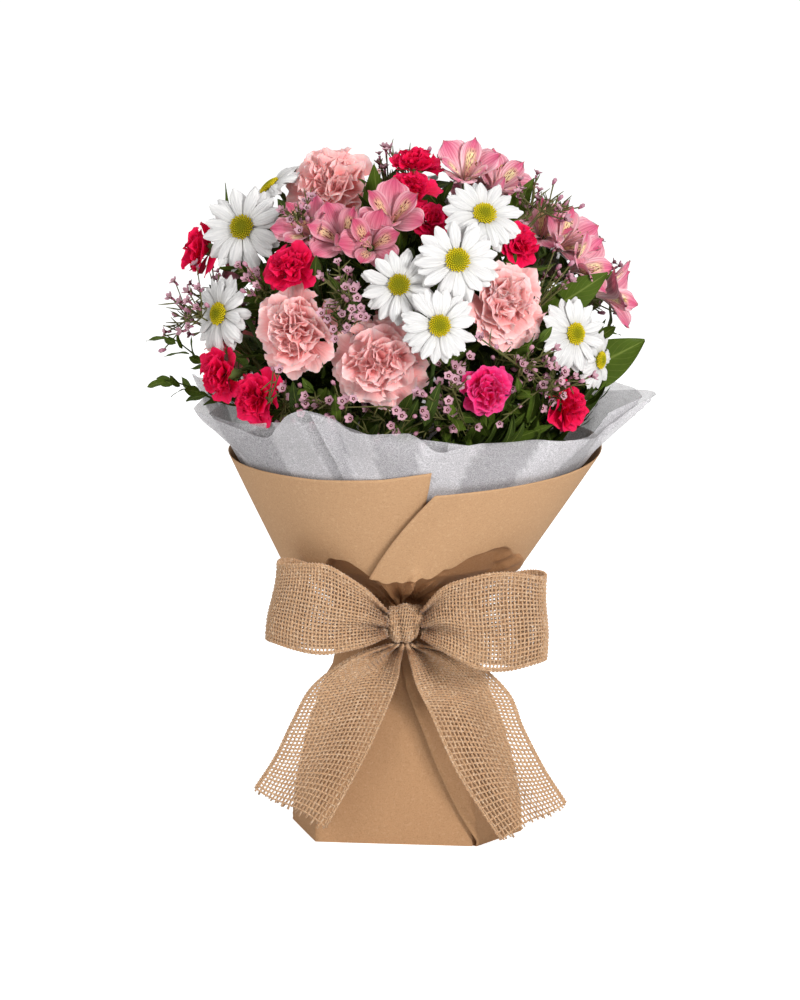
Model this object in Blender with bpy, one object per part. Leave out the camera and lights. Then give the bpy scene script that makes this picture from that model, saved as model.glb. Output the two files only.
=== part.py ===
"""Mixed flower bouquet in kraft paper with a burlap bow. Metres, +Z up, the front of the bunch is -Y."""
import math
import random
from dataclasses import dataclass

import bmesh
import bpy
from mathutils import Matrix, Vector

# Kraft paper wrapper: heights and radii of its rim, crease and waist
RIM_HEIGHT = 0.293
RIM_RADIUS = 0.137
RIM_SHIFT = 0.008
CREASE_HEIGHT = 0.210
CREASE_RADIUS = 0.090
WAIST_TOP = 0.182
WAIST_BOTTOM = 0.160
WAIST_RADIUS = 0.040
WAIST_VALLEY = 0.0270
SKIRT_FULLNESS = 1.8
PAPER = 0.0009
PAPER_STEP = 0.0032
PAPER_COLUMNS = 38
PLEAT_COLUMNS = 4
HEM_WIDTH = 0.007
FOOT_CORNERS = ((-0.082, 0.027), (-0.064, -0.041), (0.052, -0.055), (0.088, -0.008), (0.055, 0.055),
                (-0.055, 0.060))
PAPER_HEIGHTS = (0.075, 0.122, WAIST_BOTTOM, WAIST_TOP, CREASE_HEIGHT)
# The outer edge of the overlap as (height, degrees from the front), and how far the sheet laps under it
OVERLAP_EDGE = ((0.0, 45), (0.12, 0), (0.171, -8), (CREASE_HEIGHT, -16), (RIM_HEIGHT, 9))
OVERLAP_DEPTH = ((0.0, 20), (CREASE_HEIGHT, 20), (RIM_HEIGHT, -4))
# Height of the paper's top edge, from its inner end (0) round the back to its outer end (1)
RIM_LINE = ((0, 0.304), (0.04, 0.298), (0.1, 0.294), (0.25, 0.292), (0.5, 0.296), (0.73, 0.2975),
            (0.85, 0.291), (1, 0.286))

# Nonwoven liners: thickness, and the profile of each as (height, radius), from the waist to the paper's rim
LINER = 0.0007
LINER_COLUMNS = 20
INNER_LINER = ((0.169, 0.0197), (0.184, 0.0244), (0.215, 0.078), (RIM_HEIGHT, 0.130))
OUTER_LINER = ((0.169, 0.0210), (0.183, 0.0257), (0.2135, 0.0797), (RIM_HEIGHT, 0.1335))
LINER_FLARE = 0.62
# Height of each liner's top edge as (degrees from the front, height)
OUTER_LINER_EDGE = ((-180, 0.331), (-140, 0.340), (-115, 0.330), (-90, 0.350), (-70, 0.334), (-49, 0.321),
                    (-29, 0.353), (-16, 0.338), (-3, 0.338), (6, 0.321), (16, 0.330), (30, 0.327),
                    (45, 0.321), (68, 0.315),
                    (90, 0.337), (112, 0.327), (145, 0.342), (180, 0.331))
INNER_LINER_EDGE = ((-180, 0.341), (-150, 0.326), (-115, 0.342), (-90, 0.338), (-60, 0.328), (-29, 0.341),
                    (0, 0.330), (24, 0.325), (50, 0.318), (75, 0.328), (95, 0.337), (130, 0.340), (160, 0.328),
                    (180, 0.341))

# Burlap ribbon, gathered to a band at the waist
RIBBON = 0.0014
BAND_RADIUS = 0.0444
BAND_THICKNESS = 0.0025
BAND_HALF = 0.0095
BAND_COLUMNS = 24
KNOT_HALF = Vector((0.0118, 0.0160, 0.0150))
KNOT_CENTRE = Vector((0.002, -(BAND_RADIUS + BAND_THICKNESS + 0.0001 + KNOT_HALF.y), 0.1735))
# Each loop from the knot's front, out, and back behind: (x, y, lower edge, upper edge)
LOOP_LEFT = ((-0.0104, -0.0690, 0.166, 0.183), (-0.030, -0.090, 0.1575, 0.209),
             (-0.055, -0.1025, 0.1555, 0.2215),
             (-0.080, -0.0985, 0.158, 0.2225), (-0.098, -0.084, 0.161, 0.221),
             (-0.0985, -0.070, 0.161, 0.221),
             (-0.084, -0.0640, 0.159, 0.220), (-0.058, -0.0850, 0.159, 0.2205),
             (-0.030, -0.0800, 0.160, 0.203),
             (-0.0104, -0.0590, 0.167, 0.182))
LOOP_RIGHT = ((0.01435, -0.0690, 0.165, 0.183), (0.032, -0.090, 0.152, 0.197),
              (0.055, -0.102, 0.143, 0.206),
              (0.080, -0.099, 0.1405, 0.2115), (0.1035, -0.086, 0.144, 0.2095),
              (0.1045, -0.071, 0.144, 0.209),
              (0.088, -0.062, 0.143, 0.209), (0.060, -0.072, 0.146, 0.205), (0.034, -0.0745, 0.154, 0.197),
              (0.01435, -0.0590, 0.167, 0.182))
# Each tail from the knot down: (left edge x, left edge z, right edge x, right edge z, y)
TAIL_LEFT = ((-0.008, 0.1579, 0.001, 0.1579, -0.060), (-0.034, 0.147, -0.003, 0.147, -0.064),
             (-0.066, 0.127, -0.004, 0.132, -0.064), (-0.081, 0.100, -0.013, 0.107, -0.062),
             (-0.094, 0.073, -0.030, 0.068, -0.061), (-0.1095, 0.0484, -0.057, 0.018, -0.062))
TAIL_RIGHT = ((0.003, 0.1578, 0.012, 0.1578, -0.060), (0.006, 0.146, 0.044, 0.147, -0.064),
              (0.012, 0.127, 0.078, 0.124, -0.067), (0.022, 0.106, 0.090, 0.096, -0.067),
              (0.042, 0.062, 0.106, 0.064, -0.068), (0.074, 0.0105, 0.122, 0.0385, -0.068))
TAIL_FOLD = 0.005
TAIL_COLUMNS = 4

# Stems: where they are bound, how they spread to their cut ends, and the twine
BIND_HEIGHT = 0.171
STEM_PITCH = 0.0026
STEM_RADIUS = 0.0019
FOOT_SPREAD = 2.3
FOOT_TURN = math.radians(60)
FORK_DEPTH = 0.070
GOLDEN_TURN = math.radians(137.508)
TWINE_RING = 0.0181
TWINE_RADIUS = 0.0011
TWINE_COLUMNS = 16
BIND_RADIUS = 0.0167
BIND_HALF = 0.004

# How far behind its face a daisy meets its stem, and a carnation as a share of half its width
DAISY_SEAT = 0.0032
RUFFLED_SEAT = 0.86

# Where pieces are joined, points this close are merged and faces this nearly in one plane are joined
MERGE = 0.0001
FLAT = math.radians(0.4)

# Clearances
SEAT = 0.0003
LEAF_CLEARANCE = 0.004
TWIG_CLEARANCE = 0.0035
SEED = 7


@dataclass(frozen=True)
class Bloom:
    """A bloom: the middle of its face, the azimuth and elevation it faces in degrees, and its width."""
    name: str
    place: tuple
    faces: tuple
    width: float


# Daisies and spray carnations: each group is a single flower, or a spray whose flowers share a fork
DAISIES = (
    (Bloom("daisy_03", (-0.002, -0.122, 0.439), (-5, 25), 0.058),
     Bloom("daisy_04", (0.040, -0.126, 0.458), (8, 22), 0.065),
     Bloom("daisy_05", (0.060, -0.086, 0.485), (15, 40), 0.062),
     Bloom("daisy_06", (0.027, -0.146, 0.414), (5, 8), 0.058)),
    (Bloom("daisy_07", (0.126, -0.088, 0.397), (38, 10), 0.058),
     Bloom("daisy_08", (0.145, -0.054, 0.371), (62, 0), 0.046)),
    (Bloom("daisy_01", (-0.118, -0.024, 0.465), (-22, 22), 0.066),),
    (Bloom("daisy_02", (-0.134, -0.062, 0.407), (-50, 12), 0.060),),
    (Bloom("daisy_09", (-0.098, 0.030, 0.486), (-110, 50), 0.060),),
    (Bloom("daisy_10", (0.108, 0.080, 0.430), (125, 28), 0.064),),
    (Bloom("daisy_11", (0.008, 0.092, 0.473), (172, 48), 0.066),),
    (Bloom("daisy_12", (-0.082, 0.116, 0.404), (-145, 20), 0.062),),
    (Bloom("daisy_13", (0.060, 0.133, 0.366), (158, 6), 0.064),),
)
CARNATIONS = (
    Bloom("carnation_01", (-0.056, 0.008, 0.497), (-35, 62), 0.068),
    Bloom("carnation_02", (-0.083, -0.110, 0.405), (-28, 15), 0.068),
    Bloom("carnation_03", (-0.018, -0.130, 0.382), (-5, 5), 0.068),
    Bloom("carnation_04", (0.081, -0.106, 0.427), (28, 28), 0.066),
    Bloom("carnation_05", (0.030, 0.126, 0.412), (168, 25), 0.068),
    Bloom("carnation_06", (-0.138, 0.065, 0.366), (-118, 8), 0.068),
    Bloom("carnation_07", (-0.024, 0.142, 0.354), (-172, 4), 0.066),
)
SPRAY_CARNATIONS = (
    (Bloom("spray_carnation_01", (-0.157, 0.005, 0.447), (-88, 15), 0.048),),
    (Bloom("spray_carnation_02", (0.010, -0.005, 0.516), (0, 75), 0.042),
     Bloom("", (0.006, -0.038, 0.501), (-5, 55), 0.042),
     Bloom("", (0.022, -0.064, 0.482), (5, 50), 0.038)),
    (Bloom("spray_carnation_03", (-0.087, -0.090, 0.450), (-35, 34), 0.045),),
    (Bloom("spray_carnation_04", (-0.140, -0.078, 0.365), (-55, 5), 0.045),
     Bloom("", (-0.112, -0.099, 0.350), (-40, -2), 0.045)),
    (Bloom("spray_carnation_05", (0.089, -0.072, 0.463), (45, 30), 0.040),),
    (Bloom("spray_carnation_06", (0.064, -0.130, 0.362), (22, 2), 0.043),),
    (Bloom("spray_carnation_07", (0.128, -0.081, 0.340), (60, 0), 0.042),),
    (Bloom("spray_carnation_08", (0.134, 0.070, 0.368), (115, 8), 0.044),
     Bloom("", (0.104, 0.096, 0.374), (140, 8), 0.044)),
    (Bloom("spray_carnation_09", (-0.044, 0.070, 0.478), (-150, 56), 0.043),
     Bloom("", (-0.036, 0.098, 0.452), (-165, 40), 0.043)),
)
# Alstroemeria: the fork of each cluster, then its flowers
ALSTROEMERIAS = (
    ("alstroemeria_01", (-0.036, -0.042, 0.415),
     (Bloom("", (-0.048, -0.080, 0.472), (-20, 38), 0.046),
      Bloom("", (-0.008, -0.074, 0.488), (0, 45), 0.046),
      Bloom("", (-0.023, -0.096, 0.468), (0, 28), 0.044),
      Bloom("", (-0.074, -0.060, 0.475), (-35, 38), 0.044))),
    ("alstroemeria_02", (0.050, 0.012, 0.452),
     (Bloom("", (0.048, -0.004, 0.511), (5, 55), 0.046),
      Bloom("", (0.076, 0.010, 0.499), (40, 50), 0.044))),
    ("alstroemeria_03", (0.096, -0.006, 0.408),
     (Bloom("", (0.127, -0.014, 0.457), (40, 35), 0.046),
      Bloom("", (0.106, -0.002, 0.465), (10, 45), 0.044),
      Bloom("", (0.141, -0.028, 0.440), (60, 20), 0.044),
      Bloom("", (0.165, -0.008, 0.414), (78, 5), 0.048))),
    ("alstroemeria_04", (-0.074, 0.048, 0.412),
     (Bloom("", (-0.112, 0.066, 0.449), (-120, 32), 0.046),
      Bloom("", (-0.084, 0.090, 0.446), (-145, 35), 0.046),
      Bloom("", (-0.130, 0.036, 0.424), (-100, 20), 0.044))),
    ("alstroemeria_05", (0.056, 0.052, 0.425),
     (Bloom("", (0.088, 0.054, 0.470), (110, 45), 0.046),
      Bloom("", (0.058, 0.088, 0.466), (150, 42), 0.046),
      Bloom("", (0.056, 0.050, 0.490), (130, 70), 0.044))),
)
# Waxflower: the fork of each spray, the point its flowers gather round, how far they spread, and how many
WAXFLOWERS = (
    ("waxflower_01", (-0.118, 0.000, 0.375), (-0.156, 0.002, 0.402), 0.024, 7),
    ("waxflower_02", (-0.036, -0.080, 0.398), (-0.042, -0.116, 0.430), 0.024, 7),
    ("waxflower_03", (0.071, -0.030, 0.445), (0.109, -0.025, 0.489), 0.022, 7),
    ("waxflower_04", (0.080, -0.080, 0.355), (0.100, -0.114, 0.380), 0.024, 7),
    ("waxflower_05", (-0.012, -0.080, 0.320), (-0.012, -0.134, 0.342), 0.040, 9),
    ("waxflower_06", (-0.012, 0.036, 0.440), (-0.008, 0.046, 0.506), 0.026, 7),
)
WAX_WIDTH = 0.011
WAX_TRIES = 900
# Nodes whose flowers grow on one stem
SHARED_STEMS = (("daisy_01", "daisy_09"), ("daisy_10", "daisy_13"), ("daisy_11", "daisy_12"),
                ("spray_carnation_06", "spray_carnation_07"), ("alstroemeria_02", "alstroemeria_03"),
                ("waxflower_02", "waxflower_05"))
LEAVES = 12
LEAF_TRIES = 4000
# Leaves placed by hand where they stand clear of the flowers: root, tip, direction the blade faces, width
SET_LEAVES = (
    ((0.120, 0.000, 0.345), (0.181, -0.006, 0.377), (20, 10), 0.034),
    ((-0.010, -0.004, 0.440), (-0.021, -0.025, 0.512), (-20, 20), 0.026),
    ((-0.122, -0.020, 0.350), (-0.180, -0.014, 0.372), (-40, 30), 0.014),
    ((-0.112, 0.012, 0.420), (-0.132, 0.016, 0.492), (-60, 20), 0.016),
    ((0.120, 0.030, 0.390), (0.160, 0.046, 0.420), (100, 40), 0.026),
    ((-0.056, 0.098, 0.340), (-0.098, 0.124, 0.368), (-140, 30), 0.026),
)


def facing(azimuth, elevation):
    """Unit vector for an azimuth from the front towards +X and an elevation, both in degrees."""
    turn, rise = math.radians(azimuth), math.radians(elevation)
    return Vector((math.sin(turn) * math.cos(rise), -math.cos(turn) * math.cos(rise), math.sin(rise)))


def frame_at(place, axis, roll=0.0):
    """Matrix at a place with its Z along an axis."""
    turn = Vector(axis).to_track_quat("Z", "Y").to_matrix().to_4x4()
    return Matrix.Translation(Vector(place)) @ turn @ Matrix.Rotation(roll, 4, "Z")


def between(table, value):
    """Straight-line reading of a table of (position, reading) pairs."""
    for (low, first), (high, second) in zip(table, table[1:]):
        if value <= high:
            share = min(max((value - low) / (high - low), 0.0), 1.0)
            return first + share * (second - first)
    return table[-1][1]


def finish(name, colour, roughness):
    """Principled material of one colour."""
    made = bpy.data.materials.new(name)
    made.use_nodes = True
    shader = made.node_tree.nodes["Principled BSDF"]
    shader.inputs["Base Color"].default_value = (*colour, 1)
    shader.inputs["Roughness"].default_value = roughness
    shader.inputs["Metallic"].default_value = 0
    made.diffuse_color = (*colour, 1)
    return made


def add_object(name, bm, material):
    """Put a bmesh in the scene as an object."""
    mesh = bpy.data.meshes.new(name)
    bm.to_mesh(mesh)
    bm.free()
    thing = bpy.data.objects.new(name, mesh)
    thing.data.materials.append(material)
    bpy.context.scene.collection.objects.link(thing)
    return thing


def apply_modifiers(thing):
    """Replace an object's mesh with what its modifiers make of it."""
    bpy.context.view_layer.update()
    seen = thing.evaluated_get(bpy.context.evaluated_depsgraph_get())
    mesh = bpy.data.meshes.new_from_object(seen)
    thing.modifiers.clear()
    thing.data = mesh


def keep_main_body(thing):
    """Drop sealed hollows and loose scraps: only the body with the most vertices stays."""
    bm = bmesh.new()
    bm.from_mesh(thing.data)
    left = set(bm.verts)
    bodies = []
    while left:
        body = set()
        front = [left.pop()]
        while front:
            vert = front.pop()
            body.add(vert)
            for edge in vert.link_edges:
                other = edge.other_vert(vert)
                if other in left:
                    left.remove(other)
                    front.append(other)
        bodies.append(body)
    bodies.sort(key=len)
    scraps = [vert for body in bodies[:-1] for vert in body]
    bmesh.ops.delete(bm, geom=scraps, context="VERTS")
    neat = bm.copy()
    bmesh.ops.remove_doubles(neat, verts=neat.verts, dist=MERGE)
    bmesh.ops.dissolve_limit(neat, angle_limit=FLAT, verts=neat.verts, edges=neat.edges)
    bmesh.ops.triangulate(neat, faces=neat.faces)
    bmesh.ops.triangulate(bm, faces=bm.faces)
    whole = all(edge.is_manifold for edge in neat.edges) and all(vert.is_manifold for vert in neat.verts)
    (neat if whole else bm).to_mesh(thing.data)
    neat.free()
    bm.free()


def fuse(name, pieces, solver="EXACT"):
    """Join overlapping pieces into one body with one Boolean union."""
    whole, others = pieces[0], pieces[1:]
    repeats = bpy.data.collections.new(name + "_repeats")
    for piece in others:
        repeats.objects.link(piece)
    union = whole.modifiers.new("union", "BOOLEAN")
    union.operation = "UNION"
    union.operand_type = "COLLECTION"
    union.collection = repeats
    union.solver = solver
    apply_modifiers(whole)
    for piece in others:
        bpy.data.objects.remove(piece)
    bpy.data.collections.remove(repeats)
    whole.name = name
    keep_main_body(whole)
    return whole


def blade(outline, middle, thickness, place, material):
    """Thin closed blade: an outline of points round a middle that is raised on both faces."""
    count = len(outline)
    bm = bmesh.new()
    bmesh.ops.create_cone(bm, cap_ends=True, segments=count, radius1=1, radius2=0, depth=1)
    base = max(bm.faces, key=lambda face: len(face.verts))
    under = bmesh.ops.poke(bm, faces=[base])["verts"][0]
    for vert in bm.verts:
        if vert == under:
            spot = Vector(middle) - Vector((0, 0, thickness / 2))
        elif vert.co.z > 0:
            spot = Vector(middle) + Vector((0, 0, thickness / 2))
        else:
            step = (math.atan2(vert.co.y, vert.co.x) - math.pi / 2) / (2 * math.pi / count)
            spot = Vector(outline[round(step) % count])
        vert.co = place @ spot
    return add_object("blade", bm, material)


def tube(path, radii, sides, material, ends=(None, None)):
    """Closed tube along a path: a radius at each point, and flat ends square to the given directions."""
    stations = len(path)
    bm = bmesh.new()
    bmesh.ops.create_cone(bm, cap_ends=True, segments=sides, radius1=1, radius2=1, depth=1)
    if stations > 2:
        uprights = [edge for edge in bm.edges if abs(edge.verts[0].co.z - edge.verts[1].co.z) > 0.5]
        bmesh.ops.subdivide_edges(bm, edges=uprights, cuts=stations - 2, use_grid_fill=True)
    points = [Vector(point) for point in path]
    places = []
    side = None
    for index, point in enumerate(points):
        along = (points[min(index + 1, stations - 1)] - points[max(index - 1, 0)]).normalized()
        if index == 0 and ends[0]:
            along = Vector(ends[0]).normalized()
        if index == stations - 1 and ends[1]:
            along = Vector(ends[1]).normalized()
        side = side or along.orthogonal()
        side = (side - along * side.dot(along)).normalized()
        places.append((point, side, along.cross(side), radii[index]))
    for vert in bm.verts:
        point, across, up, radius = places[round((vert.co.z + 0.5) * (stations - 1))]
        vert.co = point + radius * (vert.co.x * across + vert.co.y * up)
    return add_object("tube", bm, material)


def rows_and_columns(columns, rows):
    """Grid sheet with whole-number coordinates: column in x, row in y."""
    bm = bmesh.new()
    bmesh.ops.create_grid(bm, x_segments=columns, y_segments=rows, size=1)
    for vert in bm.verts:
        vert.co = Vector((round((vert.co.x + 1) * columns / 2), round((vert.co.y + 1) * rows / 2), 0))
    return bm


def thicken(thing, thickness):
    """Give a sheet its thickness, half on each side."""
    wall = thing.modifiers.new("wall", "SOLIDIFY")
    wall.thickness = thickness
    wall.offset = 0
    wall.use_even_offset = True
    apply_modifiers(thing)
    bm = bmesh.new()
    bm.from_mesh(thing.data)
    bmesh.ops.triangulate(bm, faces=bm.faces)
    bmesh.ops.recalc_face_normals(bm, faces=bm.faces)
    bm.to_mesh(thing.data)
    bm.free()


def foot_reach(angle):
    """Distance from the axis to the creased outline of the foot, at an angle from the front."""
    way = Vector((math.sin(angle), -math.cos(angle)))
    reach = 0.0
    corners = [Vector(corner) for corner in FOOT_CORNERS]
    for first, second in zip(corners, corners[1:] + corners[:1]):
        side = second - first
        cross = way.x * side.y - way.y * side.x
        if abs(cross) > 1e-9:
            distance = (first.x * side.y - first.y * side.x) / cross
            along = (first.x * way.y - first.y * way.x) / cross
            if distance > 0 and -1e-6 <= along <= 1 + 1e-6:
                reach = max(reach, distance)
    return reach


def rim_shift(height):
    """How far the cone has moved towards +X at a height."""
    return RIM_SHIFT * max(0.0, (height - CREASE_HEIGHT) / (RIM_HEIGHT - CREASE_HEIGHT))


def paper_radius(angle, height, valley):
    """Radius of the wrapper; valley runs from 0 on a pleat's ridge to 1 in its fold."""
    if height < WAIST_BOTTOM:
        rise = height / WAIST_BOTTOM
        radius = WAIST_RADIUS + (1 - rise ** SKIRT_FULLNESS) * (foot_reach(angle) - WAIST_RADIUS)
        depth = max(0.0, (rise - 0.45) / 0.55) ** 2
    elif height < WAIST_TOP + 1e-6:
        radius = WAIST_RADIUS
        depth = 1.0
    elif height < CREASE_HEIGHT:
        rise = (height - WAIST_TOP) / (CREASE_HEIGHT - WAIST_TOP)
        radius = WAIST_RADIUS + (CREASE_RADIUS - WAIST_RADIUS) * rise ** 1.2
        depth = (1 - rise) ** 1.5
    else:
        rise = (height - CREASE_HEIGHT) / (RIM_HEIGHT - CREASE_HEIGHT)
        radius = CREASE_RADIUS + (RIM_RADIUS - CREASE_RADIUS) * rise
        depth = 0.0
    return radius - depth * valley * (WAIST_RADIUS - WAIST_VALLEY)


def build_paper(material):
    """Kraft wrapper: one sheet wound just over once, from its hem on the ground to its rim."""
    rows = len(PAPER_HEIGHTS) + 2
    bm = rows_and_columns(PAPER_COLUMNS, rows)
    for vert in bm.verts:
        column, row = round(vert.co.x), round(vert.co.y)
        share = column / PAPER_COLUMNS
        if row < 2:
            height = 0.0
        elif row == rows:
            height = between(RIM_LINE, share)
        else:
            height = PAPER_HEIGHTS[row - 2]
        outer_edge = between(OVERLAP_EDGE, height)
        inner_edge = outer_edge + between(OVERLAP_DEPTH, height)
        angle = math.radians(inner_edge + share * (outer_edge - 360 - inner_edge))
        valley = 0.5 + 0.5 * math.cos(2 * math.pi * column / PLEAT_COLUMNS)
        radius = paper_radius(angle, height, valley) + PAPER_STEP * share
        if row == 0:
            radius -= HEM_WIDTH
        vert.co = Vector((rim_shift(height) + radius * math.sin(angle), -radius * math.cos(angle),
                          max(height, PAPER / 2)))
    wrap = add_object("kraft_wrap", bm, material)
    thicken(wrap, PAPER)
    for vert in wrap.data.vertices:
        if vert.co.z < PAPER / 3:
            vert.co.z = 0
    return wrap


def build_liner(name, profile, edge, material):
    """Nonwoven liner: an open cone gathered at the waist, with a waved top edge."""
    rows = len(profile) + 1
    bm = bmesh.new()
    bmesh.ops.create_cone(bm, cap_ends=False, segments=LINER_COLUMNS, radius1=1, radius2=1, depth=1)
    uprights = [part for part in bm.edges if abs(part.verts[0].co.z - part.verts[1].co.z) > 0.5]
    bmesh.ops.subdivide_edges(bm, edges=uprights, cuts=rows - 2, use_grid_fill=True)
    for vert in bm.verts:
        row = round((vert.co.z + 0.5) * (rows - 1))
        angle = math.atan2(vert.co.x, -vert.co.y)
        if row < len(profile):
            height, radius = profile[row]
        else:
            height = between(edge, math.degrees(angle))
            radius = profile[-1][1] + LINER_FLARE * (height - RIM_HEIGHT)
        vert.co = Vector((rim_shift(height) + radius * math.sin(angle), -radius * math.cos(angle), height))
    liner = add_object(name, bm, material)
    thicken(liner, LINER)
    return liner


def build_ring(name, radius, section, height, columns, material):
    """Closed ring: a section of (out, up) points turned about the axis of the bunch."""
    bm = bmesh.new()
    ring = [bm.verts.new((radius + out, 0, height + up)) for out, up in section]
    edges = [bm.edges.new((first, second)) for first, second in zip(ring, ring[1:] + ring[:1])]
    bmesh.ops.spin(bm, geom=ring + edges, axis=(0, 0, 1), cent=(0, 0, 0), angle=2 * math.pi, steps=columns,
                   use_merge=True)
    bmesh.ops.triangulate(bm, faces=bm.faces)
    bmesh.ops.recalc_face_normals(bm, faces=bm.faces)
    thing = add_object(name, bm, material)
    thing.data.shade_smooth()
    return thing


def build_knot(material):
    """The ribbon wrapped over the middle of the bow: an upright barrel with rounded ends and flat seats."""
    levels = ((-1.0, 0.72), (-0.78, 0.97), (0.0, 1.0), (0.78, 0.97), (1.0, 0.72))
    bm = bmesh.new()
    bmesh.ops.create_cone(bm, cap_ends=True, segments=16, radius1=1, radius2=1, depth=1)
    uprights = [edge for edge in bm.edges if abs(edge.verts[0].co.z - edge.verts[1].co.z) > 0.5]
    bmesh.ops.subdivide_edges(bm, edges=uprights, cuts=len(levels) - 2, use_grid_fill=True)
    for vert in bm.verts:
        up, share = levels[round((vert.co.z + 0.5) * (len(levels) - 1))]
        x, y = vert.co.x, vert.co.y
        square = (abs(x) ** 3 + abs(y) ** 3) ** (-1 / 3)
        vert.co = KNOT_CENTRE + Vector((x * square * share * KNOT_HALF.x, y * square * share * KNOT_HALF.y,
                                        up * KNOT_HALF.z))
    bmesh.ops.triangulate(bm, faces=bm.faces)
    return add_object("bow_knot", bm, material)


def build_loop(name, stations, material):
    """Bow loop: ribbon from the knot's front, out and round, and back to the knot."""
    columns = len(stations) - 1
    bm = rows_and_columns(columns, 3)
    for vert in bm.verts:
        x, y, low, high = stations[round(vert.co.x)]
        share = round(vert.co.y) / 3
        bulge = 0.003 * math.sin(math.pi * share)
        vert.co = Vector((x, y - bulge if round(vert.co.x) <= columns / 2 else y + bulge / 3,
                          low + share * (high - low)))
    loop = add_object(name, bm, material)
    thicken(loop, RIBBON)
    return loop


def build_tail(name, stations, material):
    """Bow tail: ribbon that spreads from the knot and hangs in shallow folds to a slanting cut."""
    columns = len(stations) - 1
    bm = rows_and_columns(columns, TAIL_COLUMNS)
    for vert in bm.verts:
        station = round(vert.co.x)
        left_x, left_z, right_x, right_z, y = stations[station]
        share = round(vert.co.y) / TAIL_COLUMNS
        fold = TAIL_FOLD * math.sin(math.pi * 2 * share) * min(1.0, station / 2)
        vert.co = Vector((left_x + share * (right_x - left_x), y - fold,
                          left_z + share * (right_z - left_z)))
    tail = add_object(name, bm, material)
    thicken(tail, RIBBON)
    return tail


def layered_head(name, rings, place, material):
    """Closed flower head: rings of (radius, height) points, from the seat, out and in along each layer.

    Odd rings are the cut outer edges of layers. Every face is split alike above and below an edge.
    """
    columns = len(rings[0][0])
    last = len(rings) - 1
    bm = bmesh.new()
    bmesh.ops.create_cone(bm, cap_ends=True, segments=columns, radius1=1, radius2=1, depth=1)
    uprights = [edge for edge in bm.edges if abs(edge.verts[0].co.z - edge.verts[1].co.z) > 0.5]
    bmesh.ops.subdivide_edges(bm, edges=uprights, cuts=last - 1, use_grid_fill=True)
    spot = {}
    for vert in bm.verts:
        row = round((vert.co.z + 0.5) * last)
        column = round(math.atan2(vert.co.x, vert.co.y) / (2 * math.pi / columns)) % columns
        spot[vert] = (column, row)
    walls = [face for face in bm.faces if len(face.verts) == 4 and len({spot[vert][1] for vert in face.verts}) == 2]
    for face in walls:
        held = {spot[vert]: vert for vert in face.verts}
        first = next(column for column, row in held if ((column + 1) % columns, row) in held)
        inner = next(row for column, row in held if row % 2 == 0)
        outer = next(row for column, row in held if row % 2 == 1)
        bmesh.utils.face_split(face, held[(first, inner)], held[((first + 1) % columns, outer)])
    for vert, (column, row) in spot.items():
        points, twist = rings[row]
        radius, height = points[column]
        angle = 2 * math.pi * column / columns + twist
        vert.co = place @ Vector((radius * math.sin(angle), radius * math.cos(angle), height))
    bmesh.ops.triangulate(bm, faces=bm.faces)
    return add_object(name, bm, material)


def plain_ring(columns, radius, height, twist=0.0):
    """Ring of equal points."""
    return [(radius, height)] * columns, twist


def petal_ring(petals, pattern, root, rise, length, shift, draw, twist=0.0):
    """Outer edge of a layer: for each petal a pattern of (share of its length, lift) on a cone."""
    slope = math.radians(rise)
    count = len(pattern)
    points = [None] * (petals * count)
    for petal in range(petals):
        reach = length * draw.uniform(0.94, 1.0)
        for index, (share, lift) in enumerate(pattern):
            along = reach * share
            points[(petal * count + index + shift) % len(points)] = (
                root[0] + along * math.cos(slope) - lift * math.sin(slope),
                root[1] + along * math.sin(slope) + lift * math.cos(slope))
    return points, twist


def build_daisy(bloom, draw, material):
    """Ray petals of a daisy: two layers of seven blunt petals round a small hub."""
    half = bloom.width / 2
    place = frame_at(bloom.place, facing(*bloom.faces), half * 90)
    pattern = ((0.20, 0), (0.97, 0), (1.0, 0))
    petals, columns = 7, 21
    step = math.radians(360 / 42)
    rings = (plain_ring(columns, 0.0034, -DAISY_SEAT),
             petal_ring(petals, pattern, (0.0050, -0.0018), -3, half - 0.0055, 0, draw),
             plain_ring(columns, 0.0054, -0.0008, step / 2),
             petal_ring(petals, pattern, (0.0050, 0.0002), 7, half - 0.0050, 1, draw, step),
             plain_ring(columns, 0.0048, 0.0012, step))
    return layered_head("petals", rings, place, material)


def build_disc(bloom, material):
    """Yellow middle of a daisy: a low dome that sits on the hub."""
    place = frame_at(bloom.place, facing(*bloom.faces))
    start = 0.0012 + SEAT
    disc = tube(((0, 0, start), (0, 0, start + 0.0012), (0, 0, start + 0.0030)), (0.0044, 0.0082, 0.0050),
                7, material)
    disc.data.transform(place)
    disc.name = bloom.name + "_disc"
    return disc


def build_ruffled(bloom, large, draw, material):
    """Double ruffled flower: layers of fan petals with notched, waved edges, and a flat seat below."""
    half = bloom.width / 2
    place = frame_at(bloom.place, facing(*bloom.faces), draw.uniform(0, 6))
    rises = (4, 34, 66) if large else (8, 48)
    wave = 0.055 * half
    pattern = ((0.46, 0), (0.97, wave), (0.86, -wave), (1.0, wave))
    if not large:
        pattern = ((0.50, 0), (0.96, wave), (1.0, -wave))
    petals = 5 if large else 4
    columns = petals * len(pattern)
    step = 0.0 if large else math.pi / columns
    rings = [plain_ring(columns, 0.15 * half, -RUFFLED_SEAT * half)]
    for layer, rise in enumerate(rises):
        slope = math.radians(rise)
        root = (0.16 * half, (-0.64 + 0.12 * layer) * half)
        reach = 0.84 / math.hypot(math.cos(slope), math.sin(slope) / 0.72) * half
        shift = 2 * layer if large else layer
        rings.append(petal_ring(petals, pattern, root, rise, reach, shift, draw, step * layer))
        ring = 0.25 - 0.05 * layer
        rings.append(plain_ring(columns, ring * half, (-0.56 + 0.12 * layer) * half, step * (layer + 0.5)))
    return layered_head("petals", rings, place, material)


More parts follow.
